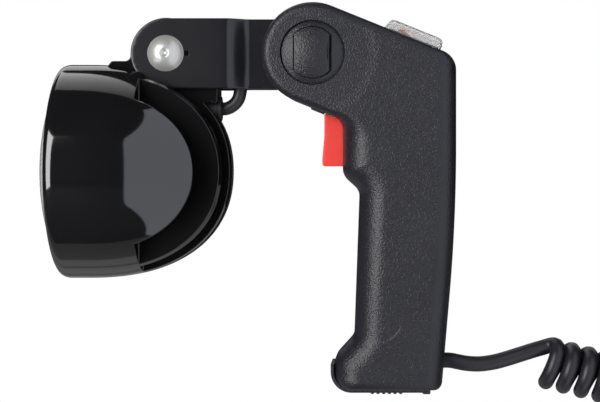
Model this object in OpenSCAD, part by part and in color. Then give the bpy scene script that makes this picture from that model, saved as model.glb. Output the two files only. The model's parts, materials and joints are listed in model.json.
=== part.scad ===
// Hand-held LED searchlight: a finned lamp head on a two-plate bracket, a pistol-grip handle moulded
// in two halves, a trigger, a rocker switch under a clear boot and a curly cord with a 12 V plug.
// Millimetres. X runs from the lens (-X) to the back of the grip (+X), Z is up, Y is across.
// The origin is the middle of the grip, where a hand closes round it.

/* [Handle] */
// Width of the handle over both halves
handle_w = 36; // [34:0.5:40]
// Wall of the moulded halves
handle_wall = 2.4; // [2:0.1:2.8]
// Radius of the round hub at the upper front end
hub_r = 23.2; // [22.6:0.2:24]
// Hub centre in front of the middle of the grip
hub_out = 42.1; // [41:0.2:44]
// Hub centre above the middle of the grip
hub_up = 90.9; // [90:0.2:94]
// Fall of the upper edge behind the hub, in degrees
top_slope = 22; // [20:0.5:24]
// Grip, front to back at its middle
grip_depth = 44; // [42:0.5:47]
// Foot of the grip below its middle
grip_drop = 63.1; // [62:0.5:70]
// Reach of the foot's nose in front of the grip
nose_out = 10.5; // [9:0.5:12]

/* [Head] */
// Radius of the lamp head's drum
head_r = 49.4; // [48.6:0.2:51]
// Length of the head from its rim to its rear
head_len = 78; // [76:0.5:82]
// Head axis below the tilt bolt
head_drop = 54.1; // [53.8:0.1:55]
// Tilt bolt in front of the hub
bolt_out = 67.5; // [67:0.25:70]
// Rim in front of the tilt bolt
rim_out = 48.4; // [48:0.2:50]
// Floor of the cooling slots behind the rim
slot_floor = 37.7; // [37:0.1:39]
// Thickness of a cooling fin
fin_t = 2.6; // [2:0.1:3]
// Outer face of the outer fins from the middle
outer_fin_y = 21; // [20:0.5:23]
// Inner face of the side skins from the middle
skin_y = 34; // [32:0.5:36]
// Rise of the domed lens in front of the rim
lens_rise = 9; // [7:0.5:11]
// Thickness of the lens
lens_t = 2.6; // [2:0.1:3.2]

/* [Bracket] */
// Width of the bracket strip
strip_w = 32.2; // [31:0.2:33]
// Thickness of a bracket plate
plate_t = 2.5; // [2:0.1:2.8]
// Gap between the plates at the head
front_gap = 19; // [18:0.5:21]
// Gap between the plates at the hub
rear_gap = 7.2; // [7:0.1:7.8]
// Start of the joggle behind the tilt bolt
joggle_at = 28.2; // [27:0.2:29]
// Length of the joggle
joggle_len = 8.5; // [7.5:0.25:10]
// Diameter of the tilt bolt
bolt_d = 6; // [5:0.5:7]
// Diameter of the domed head of the tilt bolt
bolt_head_d = 16.6; // [15:0.2:18]
// Diameter of the hub bolt
hub_bolt_d = 6; // [5:0.5:6.5]

/* [Hub cap] */
// Diameter of the round cap
cap_d = 29.6; // [28:0.2:30]
// Thickness of the cap
cap_t = 3; // [2.6:0.1:3.4]
// Width of the raised panel
panel_w = 16.4; // [14:0.2:18]
// Height of the raised panel
panel_h = 22; // [20:0.2:23]

/* [Trigger] */
// Width of the trigger
trigger_w = 13; // [11:0.5:14]
// Reach of the trigger in front of the wall behind it
trigger_out = 8.4; // [7:0.2:9]
// Height of the trigger's face
trigger_h = 23; // [21:0.25:23.5]
// Diameter of the trigger's pin
trigger_pin_d = 3; // [2.5:0.1:3.4]

/* [Rocker switch] */
// Length of the boot over the switch
boot_len = 28; // [27:0.25:29]
// Width of the boot
boot_w = 19; // [18:0.5:22]
// Height of the boot above the handle
boot_h = 5.4; // [5:0.1:6.5]
// Wall of the boot
boot_wall = 1.2; // [1:0.1:1.4]
// Width of the rocker
rocker_w = 10; // [8:0.5:11]

/* [Leads and cord] */
// Diameter of the lead to the lamp
lead_d = 6.2; // [5.6:0.1:6.6]
// Diameter of the curly cord
cord_d = 7.2; // [6.6:0.1:7.6]
// Mean diameter of a curl
curl_d = 17.8; // [17:0.2:20]
// Pitch of the curls where they hang straight
curl_pitch = 8.3; // [8.2:0.1:10]
// Pitch of the curls in the bend
bend_pitch = 10; // [9.8:0.1:12]
// Curls in the hanging stretch
hanging_curls = 7; // [4:1:9]

/* [Plug] */
// Diameter of the plug's barrel
plug_d = 20.6; // [20.2:0.1:21]
// Length of the plug's barrel
barrel_len = 27; // [24:0.5:32]
// Length of the plug's hand piece
hand_len = 40; // [36:0.5:46]
// Diameter of the sprung tip
tip_d = 8; // [6:0.25:9]

/* [Hidden] */
$fn = 64;

// Clearances
run_fit = 0.05;      // a shaft in its bearing
seat_gap = 0.2;      // a piece in its seat
slide_gap = 0.35;    // a moving piece in its window

black_plastic = [0.24, 0.25, 0.27];
black_gloss = [0.07, 0.07, 0.08];
black_satin = [0.15, 0.15, 0.17];
black_rubber = [0.16, 0.16, 0.18];
zinc = [0.78, 0.79, 0.8];
brass = [0.78, 0.62, 0.3];
signal_red = [0.91, 0.25, 0.21];
milky = [0.8, 0.8, 0.8, 0.75];
clear = [0.85, 0.9, 0.95, 0.4];
white_board = [0.9, 0.9, 0.88];
led_yellow = [0.95, 0.85, 0.3];
copper_red = [0.75, 0.3, 0.2];

// Small vector tools
function unit(v) = v / norm(v);
function mix(a, b, t) = a * (1 - t) + b * t;
function smooth(t) = let (u = min(1, max(0, t))) u * u * (3 - 2 * u);
function turn(v, a) = [v.x * cos(a) - v.y * sin(a), v.x * sin(a) + v.y * cos(a)];
function in_side_plane(p) = [p.x, 0, p.y];

// Main places in the side plane, as [x, z]
hub = [-hub_out, hub_up];
bolt = [hub.x - bolt_out, hub.y];
slope_along = [cos(top_slope), -sin(top_slope)];
slope_up = [sin(top_slope), cos(top_slope)];
half_w = handle_w / 2;
grip_front = -grip_depth / 2;
grip_back = grip_depth / 2 + 1.5;

// Handle outline: corners in order, each with its radius and the number of steps in its arc
shoulder_out = 6.8;
grip_lean = 0.036;
back_lean = 0.086;
back_bend_z = 15;
nose_h = 14.5;
flare_h = 10;
wall_x = grip_front - shoulder_out;
nose_x = grip_front - nose_out;
function down_slope(p, x) = p + slope_along * ((x - p.x) / slope_along.x);
function on_upper_edge(x) = down_slope(hub + hub_r * slope_up, x);
function on_lower_edge(x) = down_slope(hub - hub_r * slope_up, x);
function grip_front_at(z) = grip_front + grip_lean * z;
flare_top = nose_h + flare_h - grip_drop;
trigger_face = wall_x - trigger_out;
trigger_top = on_lower_edge(trigger_face).y - 1.8;
trigger_low = trigger_top - trigger_h;
shoulder_top = trigger_low - 4.1;
shoulder_low = shoulder_top - 7;

handle_corners = [
    // place, radius, steps
    [[nose_x, -grip_drop], 8, 5],
    [[grip_back - back_lean * (back_bend_z + grip_drop), -grip_drop], 3.7, 4],
    [[grip_back, back_bend_z], 800, 6],
    [on_upper_edge(grip_back), 9.2, 6],
    [hub + hub_r * (slope_up - slope_along), hub_r, 9],
    [hub - hub_r * (slope_up + slope_along), hub_r, 9],
    [on_lower_edge(wall_x), 6.5, 4],
    [[wall_x, shoulder_top], 2.5, 3],
    [[grip_front_at(shoulder_low), shoulder_low], 6, 4],
    [[grip_front_at(flare_top), flare_top], 5, 4],
    [[nose_x, nose_h - grip_drop], 4, 3]
];
// Edge rounding of the side faces, for the edge after each corner
handle_edges = [4, 5.5, 5.5, 3.7, 3.7, 3.7, 6, 9, 11, 8, 6];

function corner(i) = handle_corners[(i + len(handle_corners)) % len(handle_corners)];
function edge_round(i) = handle_edges[(i + len(handle_edges)) % len(handle_edges)];
function inward(i) = let (d = unit(corner(i + 1)[0] - corner(i)[0])) [-d.y, d.x];

// One rounded corner of the outline, with the edges before and after it moved in by a and b.
// Each point is [x, z, rounding of the side face there].
function corner_arc(i, a, b, round_before, round_after) = let (
    n1 = inward(i - 1),
    n2 = inward(i),
    c = n1 * n2,
    p = corner(i)[0] + (a * (n1 - c * n2) + b * (n2 - c * n1)) / (1 - c * c),
    bend = atan2(n1.x * n2.y - n1.y * n2.x, c),
    plain_r = corner(i)[1],
    r = bend > 0 ? max(0.3, plain_r - (a + b) / 2) : -(plain_r + (a + b) / 2),
    centre = p + (n1 + n2) * (r / (1 + c)),
    steps = corner(i)[2]
) [for (k = [0:steps]) let (t = k / steps, q = centre - r * turn(n1, bend * t))
    [q.x, q.y, mix(round_before, round_after, t)]];

// One ring of a half handle: the outline moved in by the wall and then rounded by the angle phi
function half_ring(inset, phi) = [
    for (i = [0:len(handle_corners) - 1])
        let (before = max(1, edge_round(i - 1) - inset), after = max(1, edge_round(i) - inset))
        let (share = 1 - cos(phi))
        for (q = corner_arc(i, inset + before * share, inset + after * share, before, after))
            [q.x, -(half_w - inset - q.z * (1 - sin(phi))), q.y]
];
function flat_ring(ring, y) = [for (p = ring) [p.x, y, p.z]];

// Triangles that fill a flat outline, cut off it one corner at a time; ids are places in the list p
function twice_area(a, b, c) = (b.x - a.x) * (c.y - a.y) - (b.y - a.y) * (c.x - a.x);
function covers(a, b, c, q) =
    twice_area(a, b, q) >= 0 && twice_area(b, c, q) >= 0 && twice_area(c, a, q) >= 0;
function around(ids, k) = let (n = len(ids)) [ids[(k + n - 1) % n], ids[k], ids[(k + 1) % n]];
function is_corner_of(t, i) = i == t[0] || i == t[1] || i == t[2];
function inside_it(p, t, ids) = [
    for (i = ids) if (!is_corner_of(t, i) && covers(p[t[0]], p[t[1]], p[t[2]], p[i])) i
];
function is_ear(p, t, ids) = twice_area(p[t[0]], p[t[1]], p[t[2]]) > 0 && len(inside_it(p, t, ids)) == 0;
function next_ear(p, ids, k = 0) =
    k >= len(ids) - 1 || is_ear(p, around(ids, k), ids) ? k : next_ear(p, ids, k + 1);
function filled(p, ids) = len(ids) == 3 ? [ids] : let (k = next_ear(p, ids))
    concat([around(ids, k)], filled(p, [for (i = [0:len(ids) - 1]) if (i != k) ids[i]]));
function filled_side(ring) = filled([for (q = ring) [q.x, q.z]], [for (i = [0:len(ring) - 1]) i]);
function fan(ring) = [for (j = [1:len(ring) - 2]) [0, j, j + 1]];

// Solid through a list of rings with equal counts, closed by the triangles given for its two ends
module loft(rings, first_fill, last_fill) {
    count = len(rings[0]);
    last = (len(rings) - 1) * count;
    points = [for (ring = rings) each ring];
    sides = [
        for (k = [0:len(rings) - 2], j = [0:count - 1])
            let (a = k * count + j, b = k * count + (j + 1) % count)
            each [[a, b + count, b], [a, a + count, b + count]]
    ];
    last_end = [for (t = last_fill) [last + t[2], last + t[1], last + t[0]]];
    polyhedron(points, concat(sides, first_fill, last_end), convexity = 10);
}

round_steps = 4;
// Half of the handle's outer form, or of its hollow when inset is the wall
module handle_form(inset, parting_y) {
    rings = [for (k = [0:round_steps]) half_ring(inset, 90 * k / round_steps)];
    parting = flat_ring(rings[0], parting_y);
    loft(concat([parting], rings), filled_side(parting), filled_side(rings[round_steps]));
}

// Tools for turned, pressed and swept pieces
module rod_y(p, r, y0, y1) {
    translate([p.x, y1, p.y]) rotate([90, 0, 0]) cylinder(r = r, h = y1 - y0);
}
module rod_x(x0, x1, r, y, z) {
    translate([x0, y, z]) rotate([0, 90, 0]) cylinder(r = r, h = x1 - x0);
}
module rod_slope(s, h, r, half) {
    translate([s, half, h]) rotate([90, 0, 0]) cylinder(r = r, h = 2 * half);
}
module pressed(y0, y1) {
    translate([0, y1, 0]) rotate([90, 0, 0]) linear_extrude(y1 - y0) children();
}
module block(x, y, z) {
    translate([x[0], y[0], z[0]]) cube([x[1] - x[0], y[1] - y[0], z[1] - z[0]]);
}
// Children drawn in the frame of the sloping upper edge: x along it from the hub, z out of it
module on_slope() {
    translate([hub.x, 0, hub.y]) rotate([0, top_slope, 0]) children();
}
// Children turned about the head's axis: profile x is the radius, profile y runs back from the rim
module turned_in_head() {
    translate([rim_x, 0, head_z]) rotate([0, 90, 0]) rotate_extrude() children();
}

function tangents(p) = let (last = len(p) - 1)
    [for (i = [0:last]) unit(p[min(i + 1, last)] - p[max(i - 1, 0)])];
function carried(n, t) = unit(n - (n * t) * t);
function normals(t, n0) = [
    for (i = 0, n = n0; i < len(t); i = i + 1, n = carried(n, t[min(i, len(t) - 1)])) carried(n, t[i])
];
// Tube through a list of points
module tube(points, r, sides) {
    t = tangents(points);
    n = normals(t, [0, 1, 0.02]);
    rings = [
        for (i = [0:len(points) - 1])
            let (b = cross(t[i], n[i]))
            [for (k = [0:sides - 1]) points[i] + r * (cos(360 * k / sides) * n[i] + sin(360 * k / sides) * b)]
    ];
    loft(rings, fan(rings[0]), fan(rings[0]));
}
// Compression spring along Z from z0 to z1, with its ends closed
module spring(r, wire_r, turns, z0, z1) {
    per_turn = 10;
    steps = turns * per_turn;
    tube([
        for (i = [0:steps])
            let (a = 360 * i / per_turn, u = smooth((i / per_turn - 0.5) / (turns - 1)))
            [r * cos(a), r * sin(a), mix(z0 + wire_r, z1 - wire_r, u) + wire_r * 2.2 * (i / steps - u) * 0.2]
    ], wire_r, 6);
}

// Head
rim_x = bolt.x - rim_out;
head_z = bolt.y - head_drop;
bowl_start = 12;
bowl_power = 2.3;
bowl_steps = 14;
rim_round = 2;
disc_t = 0.5;
lug_half = front_gap / 2 - disc_t;
boss_r = strip_w / 2 + 0.4;
relief_r = strip_w / 2 + 1.8;
relief_side = 0.8;
cavity_r = head_r - 4.6;
floor_t = 4;
cavity_floor = slot_floor - floor_t;
lens_seat_r = head_r - 2.4;
lens_seat_depth = 5.2;
seal_t = 1.6;
post_x = bolt.x + 23.3;
post_low = bolt.y - 29.3;
gland_z = bolt.y - 25.1;
gland_r = lead_d / 2 + 1.6;
gland_len = 7;
gland_lip = 1.2;
gland_lip_r = gland_r + 1;
core_bore_r = 2.2;

// Bowl profile: a straight drum that closes to the rear as a flattened ellipse
function bowl_point(t) = [
    head_r * pow(cos(t), 2 / bowl_power),
    bowl_start + (head_len - bowl_start) * pow(sin(t), 2 / bowl_power)
];
bowl_profile = concat(
    [[0, 0], [head_r - rim_round, 0], [head_r - 0.6, 0.6], [head_r, rim_round]],
    [for (k = [0:bowl_steps]) bowl_point(90 * k / bowl_steps)]
);

// The tall lug between the bracket plates, its pad in front and the block round the gland behind
module lug_outline() {
    pad_front = bolt.x - 27.7;
    pad_top = bolt.y - 2.1;
    boss_low = bolt.y - 12;
    translate(bolt) circle(r = boss_r);
    polygon([
        [pad_front, pad_top - 8], [pad_front, pad_top - 1.5], [pad_front + 1.5, pad_top],
        [bolt.x - boss_r + 2, pad_top], [bolt.x, bolt.y], [bolt.x + boss_r - 2, boss_low + 2],
        [post_x - 2, bolt.y - 13.5], [post_x, bolt.y - 15.5], [post_x, post_low + 1.5],
        [post_x - 1.5, post_low], [rim_x + slot_floor - 1, post_low],
        [rim_x + slot_floor - 1, pad_top - 30],
        [pad_front + 4, pad_top - 30]
    ]);
}

// A pair of cooling slots, cut forward from the rear to the slot floor
module slot_pair(y0, y1) {
    for (side = [-1, 1])
        scale([1, side, 1])
            block([rim_x + slot_floor, rim_x + head_len + 1], [y0, y1],
                [head_z - head_r - 1, head_z + head_r + 1]);
}

module head_housing() {
    color(black_gloss) difference() {
        union() {
            difference() {
                turned_in_head() polygon(bowl_profile);
                slot_pair(fin_t / 2, lug_half - fin_t);
                slot_pair(lug_half, outer_fin_y - fin_t);
                slot_pair(outer_fin_y, skin_y);
                for (side = [-1, 1])
                    scale([1, side, 1])
                        rod_y(bolt, relief_r, lug_half, front_gap / 2 + plate_t + relief_side);
            }
            difference() {
                pressed(-lug_half, lug_half) lug_outline();
                rod_x(rim_x, rim_x + cavity_floor + 1, cavity_r + 1, 0, head_z);
            }
        }
        rod_x(rim_x - 1, rim_x + cavity_floor, cavity_r, 0, head_z);
        rod_x(rim_x - 1, rim_x + lens_seat_depth, lens_seat_r, 0, head_z);
        rod_y(bolt, bolt_d / 2 + run_fit, -lug_half - 1, lug_half + 1);
        rod_x(rim_x + cavity_floor - 1, post_x + 1, core_bore_r, 0, gland_z);
        rod_x(post_x - gland_len, post_x + 1, gland_r, 0, gland_z);
        rod_x(post_x, post_x + gland_lip + 1, gland_lip_r + seat_gap, 0, gland_z);
        for (a = board_screw_angles)
            rod_x(rim_x + cavity_floor - 1, rim_x + cavity_floor + board_screw_len, board_screw_d / 2,
                board_screw_ring * cos(a), head_z + board_screw_ring * sin(a));
    }
}

// Lens: a domed disc with a flat flange that sits in the rim
lens_flange_r = lens_seat_r - run_fit;
dome_r = lens_flange_r - 1.8;
dome_sphere = (dome_r * dome_r + lens_rise * lens_rise) / (2 * lens_rise);
lens_back = lens_seat_depth - seal_t;
lens_front = lens_back - lens_t;
module dome_slice(sphere_r) {
    translate([0, lens_front - lens_rise + dome_sphere]) circle(r = sphere_r, $fn = 180);
}
module lens() {
    color(clear) turned_in_head() {
        intersection() {
            difference() {
                dome_slice(dome_sphere);
                dome_slice(dome_sphere - lens_t);
            }
            translate([0, -lens_rise - lens_t]) square([dome_r, lens_rise + lens_t + lens_front + 0.6]);
        }
        translate([dome_r - 1.4, lens_front]) square([lens_flange_r - dome_r + 1.4, lens_t]);
    }
}
module lens_seal() {
    color(black_rubber) turned_in_head()
        translate([cavity_r, lens_back]) square([lens_seat_r - run_fit - cavity_r, seal_t]);
}

// Reflector: a plate with seven parabolic cups, one in the middle and six round it
board_t = 1.6;
board_r = cavity_r - 4.8;
emitter_t = 1.4;
emitter_w = 5;
cup_floor_r = 4.2;
cup_wall = 1.2;
plate_skin = 1.6;
reflector_r = cavity_r - seat_gap;
cup_r = reflector_r * 0.305;
cup_ring = reflector_r * 0.65;
reflector_front = lens_seat_depth + 0.4;
reflector_back = cavity_floor - board_t;
cup_places = concat([[0, 0]], [for (k = [0:5]) cup_ring * [cos(60 * k + 30), sin(60 * k + 30)]]);
cup_steps = 7;
function cup_radius(t) = cup_floor_r + (cup_r - cup_floor_r) * sqrt(t);
function cup_line(grow) = [
    for (k = [0:cup_steps]) let (t = k / cup_steps)
        [cup_radius(t) + grow, mix(reflector_back, reflector_front, t)]
];
module cup(grow) {
    polygon(concat([[0, reflector_front], [0, reflector_back]], cup_line(grow)));
}
module at_cups() {
    for (p = cup_places)
        translate([0, p.x, p.y]) children();
}
module reflector() {
    color(zinc) difference() {
        union() {
            rod_x(rim_x + reflector_front, rim_x + reflector_front + plate_skin, reflector_r, 0, head_z);
            at_cups() turned_in_head() cup(cup_wall);
        }
        at_cups() turned_in_head() {
            cup(0);
            translate([0, reflector_back - 1]) square([cup_floor_r, 2]);
            translate([0, reflector_front - 1]) square([cup_r, 1.01]);
        }
    }
}
board_screw_angles = [60, 180, 300];
board_screw_ring = cup_ring * 0.535;
board_screw_d = 2.6;
board_screw_len = 3;
board_screw_head = 1.4;
module led_board() {
    color(white_board) difference() {
        rod_x(rim_x + reflector_back, rim_x + cavity_floor, board_r, 0, head_z);
        for (a = board_screw_angles)
            rod_x(rim_x + reflector_back - 1, rim_x + cavity_floor + 1, board_screw_d / 2 + seat_gap,
                board_screw_ring * cos(a), head_z + board_screw_ring * sin(a));
    }
}
module led_emitters() {
    color(led_yellow) at_cups()
        translate([rim_x + reflector_back - emitter_t / 2, 0, head_z])
            cube([emitter_t, emitter_w, emitter_w], center = true);
}
module board_screws() {
    color(zinc) for (a = board_screw_angles) {
        y = board_screw_ring * cos(a);
        z = head_z + board_screw_ring * sin(a);
        rod_x(rim_x + reflector_back, rim_x + cavity_floor + board_screw_len - 0.5, board_screw_d / 2, y, z);
        rod_x(rim_x + reflector_back - board_screw_head, rim_x + reflector_back, board_screw_d * 0.8, y, z);
    }
}

// Lead from the head: a gland in the lug's rear block, two cores inside and the lead outside
module cable_gland() {
    color(black_rubber) difference() {
        union() {
            rod_x(post_x - gland_len, post_x, gland_r - run_fit, 0, gland_z);
            rod_x(post_x, post_x + gland_lip, gland_lip_r, 0, gland_z);
        }
        rod_x(post_x - gland_len - 1, post_x + gland_lip + 1, lead_d / 2, 0, gland_z);
    }
}
core_r = 0.8;
module lead_cores() {
    color(copper_red) for (side = [-1, 1])
        rod_x(rim_x + cavity_floor, post_x - gland_len, core_r, side * (core_r + 0.2), gland_z);
}
// Places along the lead's middle, [x from the tilt bolt, z from the tilt bolt]
lead_route = [
    [16.3, -25.1], [24.5, -25.1], [27.6, -24.6], [30.3, -22.9], [32.2, -20.3], [33, -17.2],
    [33.6, -14], [35.3, -11.2], [38, -9.6], [41.5, -9.2], [46, -9.3], [50.5, -9.7], [55, -10.1],
    [60, -10.6], [66, -10.9], [72, -10.8], [78, -10.2], [82, -9.8]
];
module lamp_lead() {
    color(black_rubber) tube([for (p = lead_route) in_side_plane(bolt + p)], lead_d / 2 - run_fit, 10);
}

// Bracket: two plates that stand apart at the head and close up at the hub
function plate_line(side, far) = let (
    front = front_gap / 2 + far,
    rear = rear_gap / 2 + far,
    x1 = bolt.x + joggle_at,
    x2 = x1 + joggle_len
) [[bolt.x - strip_w, side * front], [x1, side * front], [x2, side * rear], [hub.x + strip_w, side * rear]];
function reversed(list) = [for (i = [len(list) - 1:-1:0]) list[i]];
module plate(side) {
    difference() {
        intersection() {
            translate([0, 0, hub.y - strip_w]) linear_extrude(2 * strip_w)
                polygon(concat(plate_line(side, 0), reversed(plate_line(side, plate_t))));
            pressed(-front_gap, front_gap) {
                translate(bolt) circle(r = strip_w / 2);
                translate(hub) circle(r = strip_w / 2);
                translate([bolt.x, hub.y - strip_w / 2]) square([bolt_out, strip_w]);
            }
        }
        rod_y(hub, hub_bolt_d / 2 + run_fit, -front_gap, front_gap);
        children();
    }
}
neck_w = bolt_d;
module bracket_near() {
    color(black_satin) plate(-1)
        translate([bolt.x, -front_gap / 2 - plate_t / 2, bolt.y])
            cube([neck_w, plate_t * 2, neck_w], center = true);
}
module bracket_far() {
    color(black_satin) plate(1) rod_y(bolt, bolt_d / 2 + run_fit, 0, front_gap);
}

// Tilt bolt: domed head and square neck on the near side, nut and washer on the far side
outer_y = front_gap / 2 + plate_t;
bolt_dome_h = 4.2;
bolt_dome_sphere = (bolt_head_d * bolt_head_d / 4 + bolt_dome_h * bolt_dome_h) / (2 * bolt_dome_h);
washer_t = 1.6;
nut_h = 5;
nut_flats = 10;
bolt_end = outer_y + washer_t + nut_h + 1.5;
module tilt_bolt() {
    color(zinc) {
        rod_y(bolt, bolt_d / 2, -front_gap / 2, bolt_end);
        translate([bolt.x, -outer_y + plate_t / 2, bolt.y])
            cube([neck_w - 2 * run_fit, plate_t, neck_w - 2 * run_fit], center = true);
        intersection() {
            translate([bolt.x, bolt_dome_sphere - bolt_dome_h - outer_y, bolt.y])
                sphere(r = bolt_dome_sphere, $fn = 180);
            rod_y(bolt, bolt_head_d, -outer_y - bolt_dome_h - 1, -outer_y);
        }
    }
}
module hex_nut(p, flats, y0, y1, hole_r) {
    difference() {
        translate([p.x, y1, p.y]) rotate([90, 0, 0])
            cylinder(r = flats / 2 / cos(30), h = y1 - y0, $fn = 6);
        rod_y(p, hole_r, y0 - 1, y1 + 1);
    }
}
module tilt_nut() {
    y = outer_y + washer_t;
    color(zinc) hex_nut(bolt, nut_flats, y, y + nut_h, bolt_d / 2 + run_fit);
}
module tilt_washer() {
    color(zinc) difference() {
        rod_y(bolt, bolt_d + 0.5, outer_y, outer_y + washer_t);
        rod_y(bolt, bolt_d / 2 + run_fit, outer_y - 1, outer_y + washer_t + 1);
    }
}
module tilt_discs() {
    color(black_rubber) for (y = [-front_gap / 2, lug_half])
        difference() {
            rod_y(bolt, bolt_d * 1.6, y, y + disc_t);
            rod_y(bolt, bolt_d / 2 + run_fit, y - 1, y + disc_t + 1);
        }
}

// Hub: the plates turn on a sleeved bolt between the two cheeks of the handle
plates_half = rear_gap / 2 + plate_t;
hub_disc_t = 0.9;
cheek_y = plates_half + hub_disc_t;
cap_floor_y = half_w - cap_t;
head_pocket_r = hub_bolt_d + 0.4;
head_pocket_y = cap_floor_y - 4.6;
hub_nut_flats = hub_bolt_d * 1.65;
module hub_bolt() {
    color(zinc) {
        rod_y(hub, hub_bolt_d / 2, -head_pocket_y, cap_floor_y - 0.5);
        rod_y(hub, hub_bolt_d * 0.85, -cap_floor_y + 0.6, -head_pocket_y);
    }
}
module hub_nut() {
    color(zinc) hex_nut(hub, hub_nut_flats, head_pocket_y, cap_floor_y - 0.6, hub_bolt_d / 2 + run_fit);
}
module hub_sleeve() {
    color(zinc) difference() {
        rod_y(hub, hub_bolt_d / 2 + 1.2, -rear_gap / 2, rear_gap / 2);
        rod_y(hub, hub_bolt_d / 2 + run_fit, -rear_gap, rear_gap);
    }
}
module hub_discs() {
    color(black_rubber) for (y = [-cheek_y, plates_half])
        difference() {
            rod_y(hub, strip_w / 2 - 2, y, y + hub_disc_t);
            rod_y(hub, hub_bolt_d / 2 + run_fit, y - 1, y + hub_disc_t + 1);
        }
}

// Round cap: a dished disc with a raised barrel-shaped panel between two slits
dish_depth = 1.2;
slit_w = 0.7;
cap_rim = 1.5;
module cap_panel(grow) {
    intersection() {
        circle(r = panel_h / 2 + grow);
        square([panel_w + 2 * grow, panel_h + 2 * grow], center = true);
    }
}
module hub_cap() {
    translate([hub.x, -cap_floor_y, hub.y]) rotate([90, 0, 0]) difference() {
        cylinder(r = cap_d / 2 - run_fit, h = cap_t);
        translate([0, 0, cap_t - dish_depth]) linear_extrude(cap_t) difference() {
            circle(r = cap_d / 2 - cap_rim);
            cap_panel(0);
        }
        for (side = [-1, 1])
            translate([side * (panel_w + slit_w) / 2 - slit_w / 2, -panel_h * 0.37, cap_t - 2 * dish_depth])
                cube([slit_w, panel_h * 0.74, cap_t]);
    }
}
module hub_cap_near() {
    color(black_plastic) hub_cap();
}
module hub_cap_far() {
    color(black_plastic) mirror([0, 1, 0]) hub_cap();
}

// Handle halves
swing_down = 20;
swing_up = 45;
mouth_spread = asin(strip_w / 2 / (hub_r - handle_wall));
mouth_slack = 3;
function mouth_point(a) = hub + 3 * hub_r * [-cos(a), sin(a)];
module hub_mouth() {
    intersection() {
        translate(hub) circle(r = hub_r + 2);
        polygon(concat([hub], [
            for (k = [0:4]) mouth_point(mix(-mouth_spread - swing_down - mouth_slack,
                mouth_spread + swing_up + mouth_slack, k / 4))
        ]));
    }
}
screw_places = [[grip_back - 9.5, 58], [grip_front + 10, 20], [grip_back - 13, -16], [grip_front + 6, -44]];
screw_boss_r = 4;
screw_r = 1.6;
screw_head_r = 3.1;
screw_head_y = half_w - 6;
seat_post_r = 2.4;
cord_z = -51;
cord_wall_x = grip_back - back_lean * (back_bend_z - cord_z);
clamp_x = cord_wall_x - 12;
clamp_len = 9;
clamp_half = [6.5, 6];

module trigger_window() {
    half = trigger_w / 2 + slide_gap;
    block([trigger_face - 3, wall_x + handle_wall + 0.6], [-half, half], [trigger_low - 1.9, window_top]);
}
module switch_window() {
    half = rocker_body_w / 2 + seat_gap;
    on_slope() block([body_s[0] - seat_gap, body_s[1] + seat_gap], [-half, half],
        [hub_r - 2 * handle_wall, hub_r + 3]);
}

module handle_half(near) {
    difference() {
        union() {
            difference() {
                handle_form(0, 0);
                handle_form(handle_wall, 1);
            }
            rod_y(hub, hub_r - handle_wall / 2, -half_w + handle_wall / 2, -cheek_y);
            intersection() {
                handle_form(handle_wall / 2, -0.01);
                union() {
                    for (p = screw_places)
                        rod_y(p, screw_boss_r, -half_w, -0.02);
                    rod_y(trigger_pin_at, trigger_pin_d, -half_w, -trigger_w / 2 - slide_gap);
                    for (p = [[switch_face + 2.5, pusher_z], [switch_face + 6, pusher_z + 10]])
                        rod_y(p, seat_post_r, -half_w, -switch_half);
                    rod_y([clamp_x + clamp_len / 2, cord_z], 3, -half_w, -clamp_half[0]);
                    block([spring_back, spring_back + 2], [-half_w, -0.02], [spring_z - 4, spring_z + 4]);
                }
            }
        }
        rod_y(hub, cap_d / 2, -half_w - 1, -cap_floor_y);
        rod_y(hub, head_pocket_r, -half_w, -head_pocket_y);
        rod_y(hub, hub_bolt_d / 2 + run_fit, -half_w, 1);
        pressed(-cheek_y, 1) hub_mouth();
        trigger_window();
        switch_window();
        rod_y(trigger_pin_at, trigger_pin_d / 2 + run_fit, -trigger_w / 2 - slide_gap - 4, 1);
        rod_x(cord_wall_x - 6, cord_wall_x + 6, cord_d / 2 + run_fit, 0, cord_z);
        for (p = screw_places) {
            rod_y(p, screw_r, near ? -half_w + 6 : -half_w - 1, 1);
            if (!near)
                rod_y(p, screw_head_r + seat_gap, -half_w - 1, -screw_head_y);
        }
    }
}
module handle_half_near() {
    color(black_plastic) handle_half(true);
}
module handle_half_far() {
    color(black_plastic) mirror([0, 1, 0]) handle_half(false);
}
module shell_screws() {
    color(zinc) for (p = screw_places) {
        rod_y(p, screw_r, -half_w + 7, screw_head_y);
        rod_y(p, screw_head_r, screw_head_y, screw_head_y + 2.2);
    }
}

// Base cover: a strip that wraps the nose and the underside of the foot, with ridges to push it by
cover_t = 1.6;
cover_half = 11;
cover_rise = 11.6;
cover_short = 11.8;
cover_top = cover_rise - grip_drop;
cover_end = grip_back - cover_short;
ridge_count = 6;
ridge_in = 7;
ridge_start = grip_front + ridge_in;
ridge_pitch = 2.6;
ridge_h = 0.9;
tooth_len = 3.2;
function outline(inset) = [for (p = half_ring(inset, 0)) [p.x, p.z]];
module base_cover() {
    color(black_plastic) {
        pressed(-cover_half, cover_half) intersection() {
            difference() {
                polygon(outline(-cover_t));
                polygon(outline(0));
            }
            translate([nose_x - 5, -grip_drop - 5])
                square([cover_end - nose_x + 5, cover_top + grip_drop + 5]);
        }
        for (k = [0:ridge_count - 1])
            translate([ridge_start + k * ridge_pitch, 0, -grip_drop - cover_t])
                rotate([90, 0, 0]) cylinder(r = ridge_h, h = 2 * cover_half - 4, center = true);
        block([cover_end - tooth_len, cover_end], [-cover_half + 2, cover_half - 2],
            [-grip_drop - cover_t - ridge_h, -grip_drop - cover_t + 0.1]);
    }
}

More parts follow.
